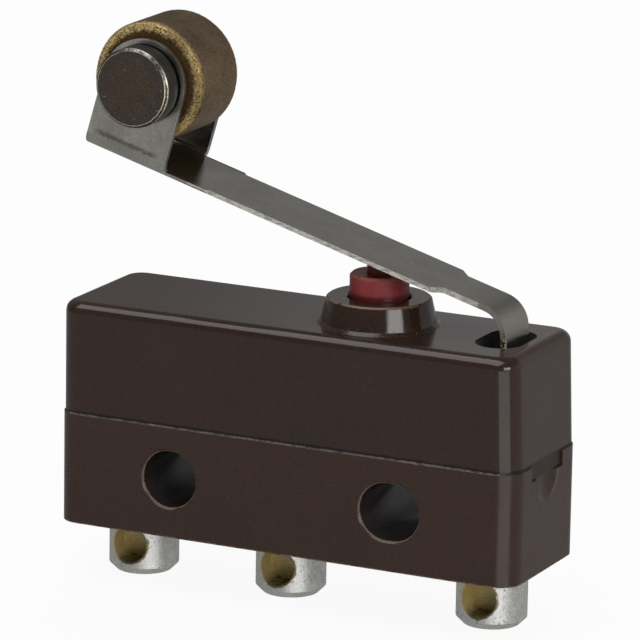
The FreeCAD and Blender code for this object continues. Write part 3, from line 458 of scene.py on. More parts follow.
def make_cover_resin():
    """Polished resin: grime just above the seam and a bare line round the collar's top edge."""
    material, tree, shader, colour, filler = start_resin("cover resin", COVER_DARK, COVER_LIGHT)
    height = along(tree, UPWARD, (0, 0, seam))
    grimy = use(tree, ragged_line, "Mask", Measure=height, From=-0.03, To=0.07, Wander=0.08, Size=0.12,
                Broken=0.3)
    colour = paint(tree, colour, grimy, GRIME)
    ends = spread(tree, facing(tree, SIDEWAYS), 0.7, 0.85)
    tongue = both(tree, spread(tree, height, 0.03, -0.03), ends)
    colour = paint(tree, colour, both(tree, tongue, 0.7), TONGUE_BROWN)
    tongue_top = use(tree, ragged_line, "Mask", Measure=height, From=-0.04, To=0.05, Wander=0.05, Size=0.12,
                     Broken=0.0)
    colour = paint(tree, colour, both(tree, tongue_top, ends), GRIME)
    distance = use(tree, reach, "Distance", Centre=plunger_axis, Across=AROUND_Z)
    edge = use(tree, ragged_line, "Mask", Measure=distance, From=COLLAR_EDGE - 0.1, To=COLLAR_EDGE,
               Wander=0.05, Size=0.1, Broken=0.42)
    edge = both(tree, edge, spread(tree, along(tree, UPWARD, cover_high), -0.14, -0.08))
    foot = both(tree, spread(tree, distance, COLLAR_FOOT - 0.1, COLLAR_FOOT),
                spread(tree, distance, COLLAR_FOOT + 0.2, COLLAR_FOOT + 0.45, 1.0, 0.0))
    dust = both(tree, use(tree, pits, "Mask", Size=0.13, Share=0.27, Softness=0.04), foot, 0.5)
    worn = use(tree, edge_wear, "Mask", Reach=0.03, Raggedness=1.5, Size=0.2)
    bare = most(tree, edge, dust, both(tree, worn, 0.3))
    pocket = find_pocket(tree)
    # Painted light: the pocket's walls are brightened to a cool grey.
    colour = paint(tree, colour, pocket, POCKET_WALL_LIGHT)
    colour = paint(tree, colour, bare, BARE_RESIN)
    matt = most(tree, bare, tongue, pocket)
    finish_resin(tree, shader, colour, matt, filler, smooth=0.07, rough=0.14, wave_depth=0.45)
    return material


dress(make_cover_resin(), "cover_housing")

# %% [markdown]
# ## The plunger
# The plunger is a dull red moulding. A painted highlight runs round its rim, painted shade darkens its foot
# where it goes into the collar, and a painted shadow of the lever darkens its tip.

# %% Plunger
RED_DARK, RED_LIGHT = (0.265, 0.034, 0.036, 1), (0.365, 0.052, 0.055, 1)
RIM_HIGHLIGHT_RED = (0.48, 0.19, 0.16, 1)
TIP_SHADOW_RED = (0.045, 0.012, 0.012, 1)
RIM_RADIUS = 1.3
TIP_RADIUS = 0.52


def make_plunger_red():
    """Dull red resin with a painted highlight on its rim, painted shade at its foot and a painted shadow on its
    tip.
    """
    material, tree, shader = start_material("plunger red", Specular_IOR_Level=0.35)
    drift = use(tree, grain, "Value", Size=0.5, Detail=4.0)
    fine = use(tree, grain, "Value", Size=0.06, Detail=3.0)
    colour = mottle(tree, paint(tree, RED_DARK, drift, RED_LIGHT), fine, 0.75, 1.25)
    distance = use(tree, reach, "Distance", Centre=plunger_axis, Across=AROUND_Z)
    # Painted highlight: a paler ragged band round the rim of the top.
    rim = use(tree, ragged_line, "Mask", Measure=distance, From=RIM_RADIUS - 0.25, To=RIM_RADIUS,
              Wander=0.04, Size=0.12, Broken=0.2)
    upper = spread(tree, facing(tree, UPWARD), 0.2, 0.5)
    colour = paint(tree, colour, both(tree, rim, upper, 0.6), RIM_HIGHLIGHT_RED)
    above_collar = along(tree, UPWARD, cover_high)
    # Painted shade: darker toward the collar, where the plunger goes into it.
    colour = paint(tree, colour, 1.0, spread(tree, above_collar, 0.14, 0.24, 0.38, 1.0), mode="MULTIPLY")
    # Painted shadow of the lever on the plunger's tip.
    below_tip = along(tree, UPWARD, plunger_high)
    tip = both(tree, spread(tree, distance, TIP_RADIUS + 0.04, TIP_RADIUS),
               spread(tree, below_tip, -0.66, -0.5))
    colour = paint(tree, colour, both(tree, tip, 0.7), TIP_SHADOW_RED)
    tree.links.new(colour, shader.inputs["Base Color"])
    tree.links.new(spread(tree, drift, 0.0, 1.0, 0.3, 0.45), shader.inputs["Roughness"])
    bump(tree, shader, drift, 0.003)
    return material


dress(make_plunger_red(), "plunger")

# %% [markdown]
# ## The lever
# The lever is cut and folded from cold rolled sheet, which is nearly a mirror with a fine grain along the
# strip. The strip's cut edges are brighter and rougher, the front ear has a scratch along its fold, and the foot
# of the leg is rubbed to tan where it works in the pocket. Painted shade darkens the ears' cut edges and tints
# the back ear blue grey, and painted highlights sit as bright specks on the leg where it enters the pocket.
# The lever's own directions, along the strip and out of it, are worked out from its slope. `way` is how far
# a point lies along the strip from the hinge, and `out` is how far it lies out of it.

# %% Along the strip
LEVER_SLOPE = math.radians(16)
STRIP_WAY = Vector((-math.cos(LEVER_SLOPE), 0, math.sin(LEVER_SLOPE)))
STRIP_OUT = Vector((math.sin(LEVER_SLOPE), 0, math.cos(LEVER_SLOPE)))
STRIP_TOP = 2.64
EARS_START = 2.9
print("along the strip:", [round(value, 3) for value in STRIP_WAY])


def find_strip(tree, way, out):
    """1 on the straight strip, below the ears and past the bend."""
    return both(tree, spread(tree, out, STRIP_TOP + 0.02, STRIP_TOP), spread(tree, way, 1.4, 1.5),
                spread(tree, way, 14.2, 14.1))

# %% Ears
BACK_EAR_SHADE_BLUE = (0.36, 0.43, 0.52, 1)
SCRATCH_GREY = (0.13, 0.13, 0.125, 1)


def mark_ears(tree, colour, way, out, on_ears):
    """Adds a painted cool shade on the back ear, and the front ear's streaks and scratch."""
    front = sum_of(tree, "LESS_THAN", along(tree, FORWARD), -1.9)
    back = sum_of(tree, "GREATER_THAN", along(tree, FORWARD), 1.6)
    # Painted shade: the back ear's inner face is tinted a cool blue grey.
    colour = paint(tree, colour, both(tree, on_ears, back, 0.5), BACK_EAR_SHADE_BLUE)
    streaks = use(tree, grain, "Value", Size=0.3, Stretch=(1.0, 1.0, 3.0), Detail=5.0)
    colour = paint(tree, colour, both(tree, on_ears, front), spread(tree, streaks, 0.2, 0.8, 1.0, 1.24),
                   mode="MULTIPLY")
    scratch = use(tree, ragged_line, "Mask", Measure=out, From=EARS_START + 0.02, To=EARS_START + 0.32,
                  Wander=0.16, Size=0.2, Soft=0.13, Broken=0.2)
    scratch = both(tree, scratch, front, spread(tree, way, 15.4, 15.9), spread(tree, way, 18.6, 18.2))
    return paint(tree, colour, both(tree, scratch, 0.6), SCRATCH_GREY), scratch

# %% Leg
LEG_GREY = (0.37, 0.335, 0.275, 1)
RUBBED_TAN = (0.42, 0.33, 0.17, 1)
LEG_HIGHLIGHT_WHITE = (0.85, 0.82, 0.72, 1)


def mark_leg(tree, colour, way):
    """Adds the leg's warmer grey, and on its near edge the rubbed tan and painted highlights as bright specks."""
    height = along(tree, UPWARD, (0, 0, deck))
    leg = both(tree, spread(tree, way, 2.2, 1.2), spread(tree, height, 2.2, 1.4))
    colour = paint(tree, colour, both(tree, leg, 0.55), LEG_GREY)
    near_edge = both(tree, spread(tree, along(tree, FORWARD), -1.0, -1.06), spread(tree, way, 2.0, 1.8))
    rubbed = both(tree, near_edge, spread(tree, height, 0.75, 0.45), spread(tree, height, 0.0, 0.1),
                  use(tree, pits, "Mask", Size=0.3, Share=0.5, Softness=0.08))
    colour = paint(tree, colour, both(tree, rubbed, 0.8), RUBBED_TAN)
    # Painted highlights: bright specks on the leg's near edge where it enters the pocket.
    leg_highlights = both(tree, near_edge, spread(tree, height, 0.3, 0.15), spread(tree, height, -0.6, -0.5),
                 use(tree, pits, "Mask", Size=0.2, Share=0.44, Softness=0.05))
    return paint(tree, colour, leg_highlights, LEG_HIGHLIGHT_WHITE), rubbed, leg_highlights

# %% Lever steel
STEEL_DARK, STEEL_LIGHT = (0.455, 0.44, 0.395, 1), (0.60, 0.585, 0.53, 1)
CUT_STEEL = (0.80, 0.77, 0.70, 1)
EAR_EDGE_SHADE = (0.27, 0.28, 0.30, 1)
WORN_STEEL = (0.82, 0.80, 0.74, 1)


def make_lever_steel():
    """Rolled steel: grain, stains, bright cut edges, a scratch on the ear, a rubbed leg, painted shade on the ears
    and painted highlights on the leg.
    """
    material, tree, shader = start_material("lever steel", Metallic=1.0)
    lines = use(tree, grain, "Value", Size=0.05, Stretch=(9.0, 1.0, 3.0), Detail=2.0)
    fine = use(tree, grain, "Value", Size=0.06, Detail=3.0)
    stains = use(tree, grain, "Value", Size=1.2, Detail=5.0)
    colour = mottle(tree, paint(tree, STEEL_DARK, stains, STEEL_LIGHT), lines, 0.93, 1.07)
    colour = mottle(tree, colour, fine, 0.76, 1.24)
    way = along(tree, STRIP_WAY, hinge_axis)
    out = along(tree, STRIP_OUT, hinge_axis)
    on_ears = spread(tree, out, EARS_START, EARS_START + 0.05)
    strip_edge = both(tree, find_strip(tree, way, out), spread(tree, facing(tree, STRIP_OUT), 0.6, 0.4))
    ear_edge = both(tree, on_ears, spread(tree, facing(tree, FORWARD), 0.6, 0.4))
    torn = use(tree, grain, "Value", Size=0.1, Stretch=(3.0, 1.0, 1.0), Detail=4.0)
    bright = both(tree, strip_edge, spread(tree, torn, 0.3, 0.6, 0.35, 1.0))
    colour = paint(tree, colour, bright, CUT_STEEL)
    # Painted shade: the ears' cut edges are darkened to a blue grey.
    colour = paint(tree, colour, both(tree, ear_edge, 0.8), EAR_EDGE_SHADE)
    worn = use(tree, edge_wear, "Mask", Reach=0.03, Raggedness=0.9, Size=0.15)
    colour = paint(tree, colour, both(tree, worn, 0.7), WORN_STEEL)
    colour, scratch = mark_ears(tree, colour, way, out, on_ears)
    colour, rubbed, leg_highlights = mark_leg(tree, colour, way)
    tree.links.new(colour, shader.inputs["Base Color"])
    scattering = most(tree, bright, leg_highlights, both(tree, rubbed, 0.6))
    tree.links.new(spread(tree, scattering, 0.0, 1.0, 1.0, 0.45), shader.inputs["Metallic"])
    gloss = spread(tree, sum_of(tree, "ADD", lines, stains), 0.4, 1.6, 0.13, 0.24)
    rough_parts = both(tree, most(tree, strip_edge, ear_edge, scratch), 0.25)
    tree.links.new(sum_of(tree, "ADD", gloss, rough_parts), shader.inputs["Roughness"])
    bump(tree, shader, sum_of(tree, "ADD", fine, both(tree, torn, strip_edge)), 0.0025)
    return material


dress(make_lever_steel(), "roller_lever")

# %% [markdown]
# ## The roller
# The roller is sintered from bronze powder. Its tread is dull brown with fine specks, and painted light
# brightens it toward its lower right. Its ends are golden and pitted near the rim, where they were last
# pressed, and painted shade darkens them toward the axle.

# %% Roller bronze
TREAD_DARK, TREAD_LIGHT = (0.138, 0.096, 0.058, 1), (0.258, 0.180, 0.108, 1)
GOLD_DARK, GOLD_LIGHT = (0.38, 0.248, 0.090, 1), (1.0, 0.77, 0.37, 1)
INNER_SHADE_DARK, INNER_SHADE_LIGHT = (0.05, 0.030, 0.012, 1), (0.22, 0.135, 0.05, 1)
RIM_BROWN = (0.060, 0.038, 0.016, 1)
PIT_BROWN = (0.022, 0.014, 0.008, 1)
GOLD_START = 1.96
TREAD_LIT_SIDE, TREAD_LIT_REACH = (0.6, 0, -0.8), 2.4
roller_radius = (roller_high.z - roller_low.z) / 2 / MM


def make_roller_bronze():
    """Sintered bronze: golden pitted ends with painted shade toward the axle, and a dull brown tread with painted
    light across it.
    """
    material, tree, shader = start_material("roller bronze", Metallic=0.8)
    speckle = use(tree, grain, "Value", Size=0.07, Detail=3.0)
    clouds = use(tree, grain, "Value", Size=1.3, Detail=4.0)
    tread = mottle(tree, paint(tree, TREAD_DARK, clouds, TREAD_LIGHT), speckle, 0.4, 1.6)
    # Painted light: the tread is made brighter toward its lower right and darker toward its upper left.
    handled = along(tree, TREAD_LIT_SIDE, roller_axis)
    handled = spread(tree, handled, -TREAD_LIT_REACH, TREAD_LIT_REACH, 0.76, 1.28)
    tread = paint(tree, tread, 1.0, handled, mode="MULTIPLY")
    distance = use(tree, reach, "Distance", Centre=roller_axis, Across=AROUND_Y)
    wander = both(tree, sum_of(tree, "SUBTRACT", speckle, 0.5), 0.16)
    radius = sum_of(tree, "ADD", distance, wander)
    gold = paint(tree, GOLD_DARK, spread(tree, speckle, 0.2, 0.8), GOLD_LIGHT)
    gold = paint(tree, gold, 1.0, spread(tree, clouds, 0.2, 0.8, 0.7, 1.25), mode="MULTIPLY")
    # Painted shade: inside the gold ring the end is dark brown, toward the axle.
    bronze = paint(tree, INNER_SHADE_DARK, speckle, INNER_SHADE_LIGHT)
    face = paint(tree, bronze, spread(tree, radius, GOLD_START, GOLD_START + 0.18), gold)
    rim = spread(tree, radius, roller_radius - 0.06, roller_radius - 0.02)
    face = paint(tree, face, both(tree, rim, 0.7), RIM_BROWN)
    end_face = spread(tree, facing(tree, FORWARD), 0.25, 0.38)
    colour = paint(tree, tread, end_face, face)
    holes = use(tree, pits, "Mask", Size=0.075, Share=0.315, Softness=0.10)
    holes = both(tree, holes, spread(tree, end_face, 0.0, 1.0, 0.25, 0.85))
    colour = paint(tree, colour, holes, PIT_BROWN)
    tree.links.new(colour, shader.inputs["Base Color"])
    tree.links.new(spread(tree, speckle, 0.0, 1.0, 0.5, 0.66), shader.inputs["Roughness"])
    bump(tree, shader, sum_of(tree, "SUBTRACT", speckle, holes), 0.006)
    return material


dress(make_roller_bronze(), "roller")

# %% [markdown]
# ## The axle
# The axle is a rivet, blackened and then handled: a mottled brown face with a few bright dots, a near
# black flank, and the inner edge of its bevel worn through to brass. Painted highlights sit on the bevel:
# mottled grey on its upper side and a pale line along its outer edge. The brass line and the pale line are
# rings about the axle, placed at the two edges of the head's bevel.

# %% Face of the rivet
FACE_DARK, FACE_LIGHT = (0.108, 0.086, 0.071, 1), (0.168, 0.115, 0.080, 1)
FACE_GREY = (0.102, 0.100, 0.099, 1)
DOT_TAN = (0.60, 0.52, 0.40, 1)


def paint_axle_face(tree, clouds, fine, distance):
    """Mottled brown that turns grey outward, with a few bright dots."""
    colour = paint(tree, FACE_DARK, clouds, FACE_LIGHT)
    greyer = spread(tree, sum_of(tree, "ADD", distance, both(tree, clouds, 0.5)), 1.0, 1.8)
    colour = paint(tree, colour, both(tree, greyer, 0.7), FACE_GREY)
    colour = mottle(tree, colour, fine, 0.55, 1.45)
    dots = use(tree, pits, "Mask", Size=0.16, Share=0.125, Softness=0.04)
    return paint(tree, colour, both(tree, dots, 0.7), DOT_TAN)

# %% Bevel of the rivet
BEVEL_START = 1.5
BEVEL_BROWN = (0.060, 0.052, 0.040, 1)
HIGHLIGHT_GREY = (0.25, 0.25, 0.25, 1)
BRASS_LINE, PALE_HIGHLIGHT = (0.92, 0.80, 0.50, 1), (0.75, 0.71, 0.60, 1)
HIGHLIGHT_SIDE, GLINT_SIDE = (0.45, 0, 0.89), (0.98, 0, 0.2)


def mark_bevel(tree, colour, distance, depth):
    """Adds the head's bevel: painted highlights on its upper side and along its outer edge, and a worn brass line
    along its inner edge.
    """
    bevelled = both(tree, spread(tree, depth, 0.17, 0.13),
                    spread(tree, distance, BEVEL_START - 0.03, BEVEL_START))
    colour = paint(tree, colour, both(tree, bevelled, 0.8), BEVEL_BROWN)
    # Painted highlights: mottled grey on the upper side of the bevel.
    highlight_side = spread(tree, along(tree, HIGHLIGHT_SIDE, roller_axis), 0.75, 1.25)
    patches = use(tree, pits, "Mask", Size=0.14, Share=0.42, Softness=0.14)
    colour = paint(tree, colour, both(tree, bevelled, highlight_side, patches), HIGHLIGHT_GREY)
    # Painted highlight: a pale line along the bevel's outer edge, brightest toward the right.
    outer_highlight = use(tree, ragged_line, "Mask", Measure=depth, From=0.08, To=0.15, Wander=0.04, Size=0.12,
                     Soft=0.012, Broken=0.40)
    outer_highlight = both(tree, outer_highlight, spread(tree, distance, BEVEL_START, BEVEL_START + 0.05))
    glint_end = spread(tree, along(tree, GLINT_SIDE, roller_axis), 0.3, 1.2, 0.25, 1.0)
    colour = paint(tree, colour, both(tree, outer_highlight, glint_end), PALE_HIGHLIGHT)
    inner_line = use(tree, ragged_line, "Mask", Measure=distance, From=BEVEL_START - 0.05,
                     To=BEVEL_START - 0.005, Wander=0.03, Size=0.15, Soft=0.012, Broken=0.2)
    away = spread(tree, highlight_side, 0.0, 0.6, 1.0, 0.15)
    return paint(tree, colour, both(tree, inner_line, spread(tree, depth, 0.08, 0.05), away, 0.9), BRASS_LINE)

# %% Axle metal
FLANK_DARK, FLANK_LIGHT = (0.046, 0.047, 0.050, 1), (0.095, 0.094, 0.092, 1)


def make_axle_metal():
    """Blackened rivet: mottled brown face, dark flank, an edge worn to brass and painted highlights on the bevel.
    """
    material, tree, shader = start_material("axle metal", Metallic=0.85)
    clouds = use(tree, grain, "Value", Size=0.9, Detail=5.0)
    fine = use(tree, grain, "Value", Size=0.07, Detail=3.0)
    distance = use(tree, reach, "Distance", Centre=roller_axis, Across=AROUND_Y)
    depth = along(tree, FORWARD, axle_low)
    on_face = both(tree, spread(tree, facing(tree, FORWARD), 0.75, 0.9), spread(tree, depth, 0.06, 0.03))
    flank = mottle(tree, paint(tree, FLANK_DARK, clouds, FLANK_LIGHT), fine, 0.5, 1.5)
    colour = paint(tree, flank, on_face, paint_axle_face(tree, clouds, fine, distance))
    colour = mark_bevel(tree, colour, distance, depth)
    tree.links.new(colour, shader.inputs["Base Color"])
    tree.links.new(spread(tree, on_face, 0.0, 1.0, 0.36, 0.42), shader.inputs["Roughness"])
    bump(tree, shader, sum_of(tree, "ADD", clouds, both(tree, fine, 0.3)), 0.003)
    return material


dress(make_axle_metal(), "roller_axle")

# %% [markdown]
# ## The posts
# Each post is brass with a dull silver plating. The wire hole was drilled after plating, so its inside is bare
# golden brass, and painted light brightens its side walls. The plating is chipped at its mouth, where painted
# shade darkens one side and a painted highlight lights the other.

# %% Post plating
SILVER_DARK, SILVER_LIGHT = (0.68, 0.68, 0.645, 1), (0.90, 0.90, 0.86, 1)
SPECK_GREY = (0.12, 0.11, 0.10, 1)
BRASS_DARK, BRASS_LIGHT = (0.40, 0.325, 0.15, 1), (0.70, 0.60, 0.31, 1)
BRASS_WALL_LIGHT = (0.86, 0.73, 0.36, 1)
MOUTH_SHADE, MOUTH_HIGHLIGHT = (0.10, 0.075, 0.03, 1), (0.85, 0.67, 0.29, 1)
PLATED_METALLIC, BRASS_METALLIC = 0.87, 0.5


def make_post_plating(name, wire_hole):
    """Silver plating over brass, bare inside the wire hole, with light and shade painted on its walls and mouth.
    """
    material, tree, shader = start_material(name)
    cloud = use(tree, grain, "Value", Size=0.5, Detail=5.0)
    fine = use(tree, grain, "Value", Size=0.07, Detail=3.0)
    silver = mottle(tree, paint(tree, SILVER_DARK, cloud, SILVER_LIGHT), fine, 0.76, 1.24)
    specks = use(tree, pits, "Mask", Size=0.12, Share=0.22, Softness=0.05)
    silver = paint(tree, silver, both(tree, specks, 0.7), SPECK_GREY)
    brass = mottle(tree, paint(tree, BRASS_DARK, cloud, BRASS_LIGHT), fine, 0.65, 1.35)
    # Painted light: the hole's side walls are brighter brass than its floor.
    lit_walls = spread(tree, facing(tree, SIDEWAYS), 0.5, 0.8, 0.0, 0.7)
    brass = paint(tree, brass, lit_walls, BRASS_WALL_LIGHT)
    centre, radius = mounts[wire_hole]["pos_m"], mounts[wire_hole]["dims"]["r_mm"]
    distance = use(tree, reach, "Distance", Centre=centre, Across=AROUND_Y)
    front = sum_of(tree, "LESS_THAN", along(tree, FORWARD), -0.2)
    chips = both(tree, use(tree, grain, "Value", Size=0.12, Detail=2.0), 0.08)
    bare = spread(tree, sum_of(tree, "SUBTRACT", distance, chips), radius, radius + 0.01, 1.0, 0.0)
    bare = both(tree, bare, front)
    colour = paint(tree, silver, bare, brass)
    mouth = use(tree, ragged_line, "Mask", Measure=distance, From=radius - 0.02, To=radius + 0.09, Wander=0.1,
                Size=0.12, Broken=0.3)
    # Painted shade darkens one side of the mouth, and a painted highlight lights the other.
    lit_side = spread(tree, along(tree, SIDEWAYS, centre), -0.3, -0.6)
    mouth_shade_and_highlight = paint(tree, MOUTH_SHADE, lit_side, MOUTH_HIGHLIGHT)
    colour = paint(tree, colour, both(tree, mouth, 0.8, front), mouth_shade_and_highlight)
    tree.links.new(colour, shader.inputs["Base Color"])
    tree.links.new(spread(tree, bare, 0.0, 1.0, PLATED_METALLIC, BRASS_METALLIC), shader.inputs["Metallic"])
    tree.links.new(spread(tree, cloud, 0.0, 1.0, 0.36, 0.5), shader.inputs["Roughness"])
    bump(tree, shader, sum_of(tree, "SUBTRACT", fine, specks), 0.004)
    return material


for which in ("common", "normally_open", "normally_closed"):
    plating = make_post_plating("plating of the " + which.replace("_", " ") + " post", which + "_wire_hole")
    dress(plating, "terminal_" + which)

# %% [markdown]
# ## Pieces inside the case
# Nobody sees these with the case closed, but they are finished too: brass strips, a copper blade,
# silver contacts and a steel pin.

# %% Inner metals
def make_plain_metal(name, dark, light, roughness, stretch):
    """Strip or turned metal with a faint grain."""
    material, tree, shader = start_material(name, Metallic=1.0)
    lines = use(tree, grain, "Value", Size=0.05, Stretch=stretch, Detail=3.0)
    tree.links.new(paint(tree, dark, lines, light), shader.inputs["Base Color"])
    tree.links.new(spread(tree, lines, 0.0, 1.0, roughness, roughness + 0.12), shader.inputs["Roughness"])
    bump(tree, shader, lines, 0.001)
    return material


ALONG_CASE, ALONG_PIN, EVEN = (8.0, 1.0, 1.0), (1, 6, 1), (1, 1, 1)
for name, dark, light, roughness, stretch, pieces in (
        ("strip brass", (0.55, 0.40, 0.16, 1), (0.72, 0.55, 0.25, 1), 0.25, ALONG_CASE,
         ("common_strip", "normally_open_strip", "normally_closed_strip", "blade_rivet_front",
          "blade_rivet_back")),
        ("blade copper", (0.55, 0.32, 0.16, 1), (0.72, 0.45, 0.25, 1), 0.22, ALONG_CASE, ("snap_blade",)),
        ("contact silver", (0.7, 0.7, 0.68, 1), (0.85, 0.85, 0.83, 1), 0.2, EVEN,
         ("moving_contact", "normally_open_contact", "normally_closed_contact")),
        ("pin steel", (0.4, 0.4, 0.39, 1), (0.55, 0.55, 0.54, 1), 0.25, ALONG_PIN,
         ("lever_pivot_pin", "blade_clamp_plate"))):
    dress(make_plain_metal(name, dark, light, roughness, stretch), *pieces)

# %% [markdown]
# ## Softening the edges
# Real edges are never quite sharp, and the thin bright line along them is what makes a small part look
# real. A weld joins the facets and a narrow bevel rounds the sharp edges, so the line is real geometry.
# Between the two, a small geometry node group marks every edge that turns by more than 30 degrees as
# sharp. Without it the shading would flow over the edges, and flat faces would mirror the wrong place.
# The two halves of the case have rounded edges of their own, and stay as they are.

# %% Crisp edges
SHARP_TURN = math.radians(30)


def make_crisp_edges():
    """Geometry nodes that shade a mesh smoothly up to its sharp edges."""
    tree = bpy.data.node_groups.new("crisp edges", "GeometryNodeTree")
    tree.interface.new_socket("Geometry", in_out="INPUT", socket_type="NodeSocketGeometry")
    tree.interface.new_socket("Geometry", in_out="OUTPUT", socket_type="NodeSocketGeometry")
    given = tree.nodes.new("NodeGroupInput").outputs
    turn = add(tree, "GeometryNodeInputMeshEdgeAngle").outputs["Unsigned Angle"]
    sharp = add(tree, "FunctionNodeCompare", {0: turn, 1: SHARP_TURN}, operation="GREATER_THAN").outputs[0]
    crisp = add(tree, "GeometryNodeSetMeshNormal", {"Remove Custom": True}, mode="SHARPNESS")
    tree.links.new(given[0], crisp.inputs["Mesh"])
    tree.links.new(sharp, crisp.inputs["Edge Sharpness"])
    tree.links.new(crisp.outputs[0], tree.nodes.new("NodeGroupOutput").inputs[0])
    return tree


crisp_edges = make_crisp_edges()

# %% Softened edges
WELD_REACH = 0.0005


def soften(name, width, segments=2):
    """Rounds a node's sharp edges by a width in millimetres."""
    piece = nodes[name]
    weld = piece.modifiers.new("weld", "WELD")
    weld.merge_threshold = WELD_REACH * MM
    piece.modifiers.new("crisp edges", "NODES").node_group = crisp_edges
    bevel = piece.modifiers.new("soft edges", "BEVEL")
    bevel.width = width * MM
    bevel.segments = segments
    bevel.limit_method = "ANGLE"
    bevel.angle_limit = SHARP_TURN
    bevel.use_clamp_overlap = True


for name, width in (("roller_lever", 0.03), ("roller_axle", 0.02), ("plunger", 0.03),
                    ("terminal_common", 0.03), ("terminal_normally_open", 0.03),
                    ("terminal_normally_closed", 0.03)):
    soften(name, width)

# %% [markdown]
# ## Floor, light and camera
# The case is dark and glossy, so most of what the eye sees on it is reflected. It stands in a soft grey
# surround, and three lamps make the highlights: a broad overhead lamp draws the line along the top edge,
# a window at the right shows on the collar and the top corner, and a low card runs down the rounded
# corner. Two fill lamps, which no mirror shows, light the end and the back.

# %% Floor
FLOOR_HALF = 1.0
FLOOR_COLOUR = (0.8, 0.8, 0.8, 1)
WHITE_SHARE = 0.93


def make_floor():
    """A large pale floor under the posts. The camera sees it nearly white, and mirrors look through it."""
    mesh = bpy.data.meshes.new("floor")
    corners = [(x * FLOOR_HALF, y * FLOOR_HALF, floor_level) for x, y in ((-1, -1), (1, -1), (1, 1), (-1, 1))]
    mesh.from_pydata(corners, [], [(0, 1, 2, 3)])
    floor = bpy.data.objects.new("floor", mesh)
    bpy.context.collection.objects.link(floor)
    material = bpy.data.materials.new("floor paint")
    material.use_nodes = True
    tree = material.node_tree
    tree.nodes.clear()
    pale = add(tree, "ShaderNodeBsdfDiffuse", {"Color": FLOOR_COLOUR}).outputs[0]
    clear = add(tree, "ShaderNodeBsdfTransparent").outputs[0]
    glow = add(tree, "ShaderNodeEmission", {"Color": (1, 1, 1, 1), "Strength": 1.0}).outputs[0]
    path = add(tree, "ShaderNodeLightPath").outputs
    lit = add(tree, "ShaderNodeMixShader", {0: path["Is Glossy Ray"], 1: pale, 2: clear}).outputs[0]
    white = both(tree, path["Is Camera Ray"], WHITE_SHARE)
    seen = add(tree, "ShaderNodeMixShader", {0: white, 1: lit, 2: glow}).outputs[0]
    add(tree, "ShaderNodeOutputMaterial", {"Surface": seen})
    mesh.materials.append(material)


make_floor()

# %% World
GROUND, HORIZON, OVERHEAD, IN_FRONT, SHADED = 0.31, 0.345, 0.06, 0.09, 0.165


def make_world():
    """White to the camera. Light and mirrors meet a pale ground and a grey sky that darkens upward."""
    world = bpy.data.worlds.new("studio")
    world.use_nodes = True
    tree = world.node_tree
    tree.nodes.clear()
    way = add(tree, "ShaderNodeTexCoord").outputs["Generated"]
    parts = add(tree, "ShaderNodeSeparateXYZ", {0: way}).outputs
    sky = spread(tree, parts["Z"], 0.27, 0.60, HORIZON, OVERHEAD)
    sky = spread(tree, spread(tree, parts["X"], -0.405, -0.452), 0.0, 1.0, sky, SHADED)
    sky = spread(tree, spread(tree, parts["Y"], 0.15, -0.15), 0.0, 1.0, sky, IN_FRONT)
    level = spread(tree, spread(tree, parts["Z"], 0.02, -0.08), 0.0, 1.0, sky, GROUND)
    path = add(tree, "ShaderNodeLightPath").outputs
    strength = add(tree, "ShaderNodeMix", {0: path["Is Camera Ray"], 2: level, 3: 1.0}).outputs[0]
    light = add(tree, "ShaderNodeBackground", {"Color": (1, 1, 1, 1), "Strength": strength}).outputs[0]
    add(tree, "ShaderNodeOutputWorld", {"Surface": light})
    bpy.context.scene.world = world


make_world()

# %% Lamps
def lamp_direction(azimuth, elevation):
    """From the part towards a lamp. Azimuth 0 is in front and 90 at the right."""
    a, e = math.radians(azimuth), math.radians(elevation)
    return Vector((math.sin(a) * math.cos(e), -math.cos(a) * math.cos(e), math.sin(e)))


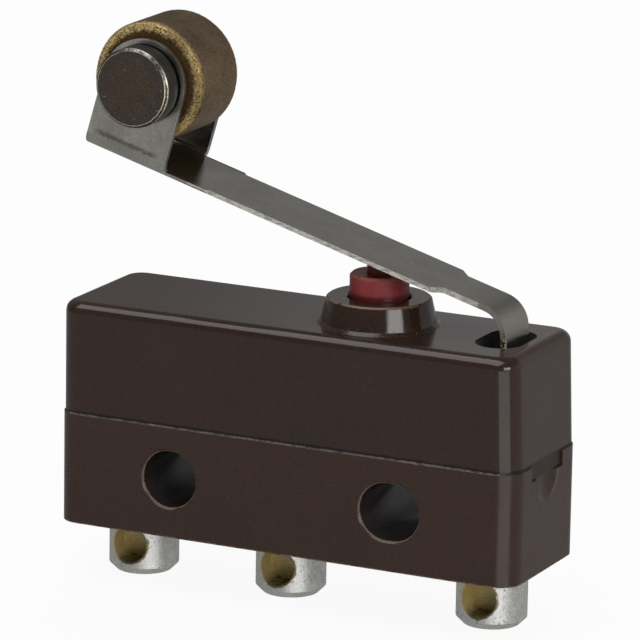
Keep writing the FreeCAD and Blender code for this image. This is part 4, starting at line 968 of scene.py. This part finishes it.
def make_lamp(name, azimuth, elevation, distance, size, radiance, mirrored=True):
    """A soft rectangular lamp that faces the middle of the case. Size is (width, height)."""
    lamp = bpy.data.lights.new(name, "AREA")
    lamp.shape = "RECTANGLE"
    lamp.size, lamp.size_y = size
    lamp.energy = radiance * math.pi * size[0] * size[1]
    piece = bpy.data.objects.new(name, lamp)
    back = lamp_direction(azimuth, elevation)
    piece.location = (base_low + cover_high) / 2 + back * distance
    piece.rotation_mode = "QUATERNION"
    piece.rotation_quaternion = back.to_track_quat("Z", "Y")
    piece.visible_camera = False
    piece.visible_glossy = mirrored
    bpy.context.collection.objects.link(piece)
    print(name, "gives", round(lamp.energy, 3), "W")


make_lamp("overhead lamp", azimuth=-25, elevation=65, distance=0.4, size=(0.40, 0.36), radiance=2.2)
make_lamp("window lamp", azimuth=59, elevation=13, distance=0.3, size=(0.165, 0.08), radiance=5.6)
make_lamp("low card", azimuth=42, elevation=-22, distance=0.3, size=(0.30, 0.15), radiance=1.15)
make_lamp("fill lamp", azimuth=75, elevation=38, distance=0.45, size=(0.3, 0.3), radiance=1.2, mirrored=False)
make_lamp("back fill lamp", azimuth=190, elevation=50, distance=0.4, size=(0.3, 0.3), radiance=2.4,
          mirrored=False)

# %% Camera
CAMERA_PLACE = (0.094169, -0.184793, 0.057796)
CAMERA_TURN, CAMERA_LIFT, CAMERA_ROLL = 25.778, 14.067, math.radians(0.979)
LENS, SENSOR = 304.9, 36


def make_camera():
    """The camera of the photograph. Its turn and lift are degrees round and above the part."""
    back = lamp_direction(CAMERA_TURN, CAMERA_LIFT)
    right = lamp_direction(CAMERA_TURN + 90, 0)
    up = back.cross(right)
    cosine, sine = math.cos(CAMERA_ROLL), math.sin(CAMERA_ROLL)
    right, up = right * cosine + up * sine, up * cosine - right * sine
    data = bpy.data.cameras.new("camera")
    data.sensor_fit = "HORIZONTAL"
    data.sensor_width = SENSOR
    data.lens = LENS
    data.clip_start, data.clip_end = 0.01, 10
    camera = bpy.data.objects.new("camera", data)
    turned = Matrix((right, up, back)).transposed().to_4x4()
    camera.matrix_world = Matrix.Translation(CAMERA_PLACE) @ turned
    bpy.context.collection.objects.link(camera)
    bpy.context.scene.camera = camera


make_camera()

# %% Finish
bpy.context.scene.view_settings.view_transform = "Standard"
bpy.context.view_layer.update()
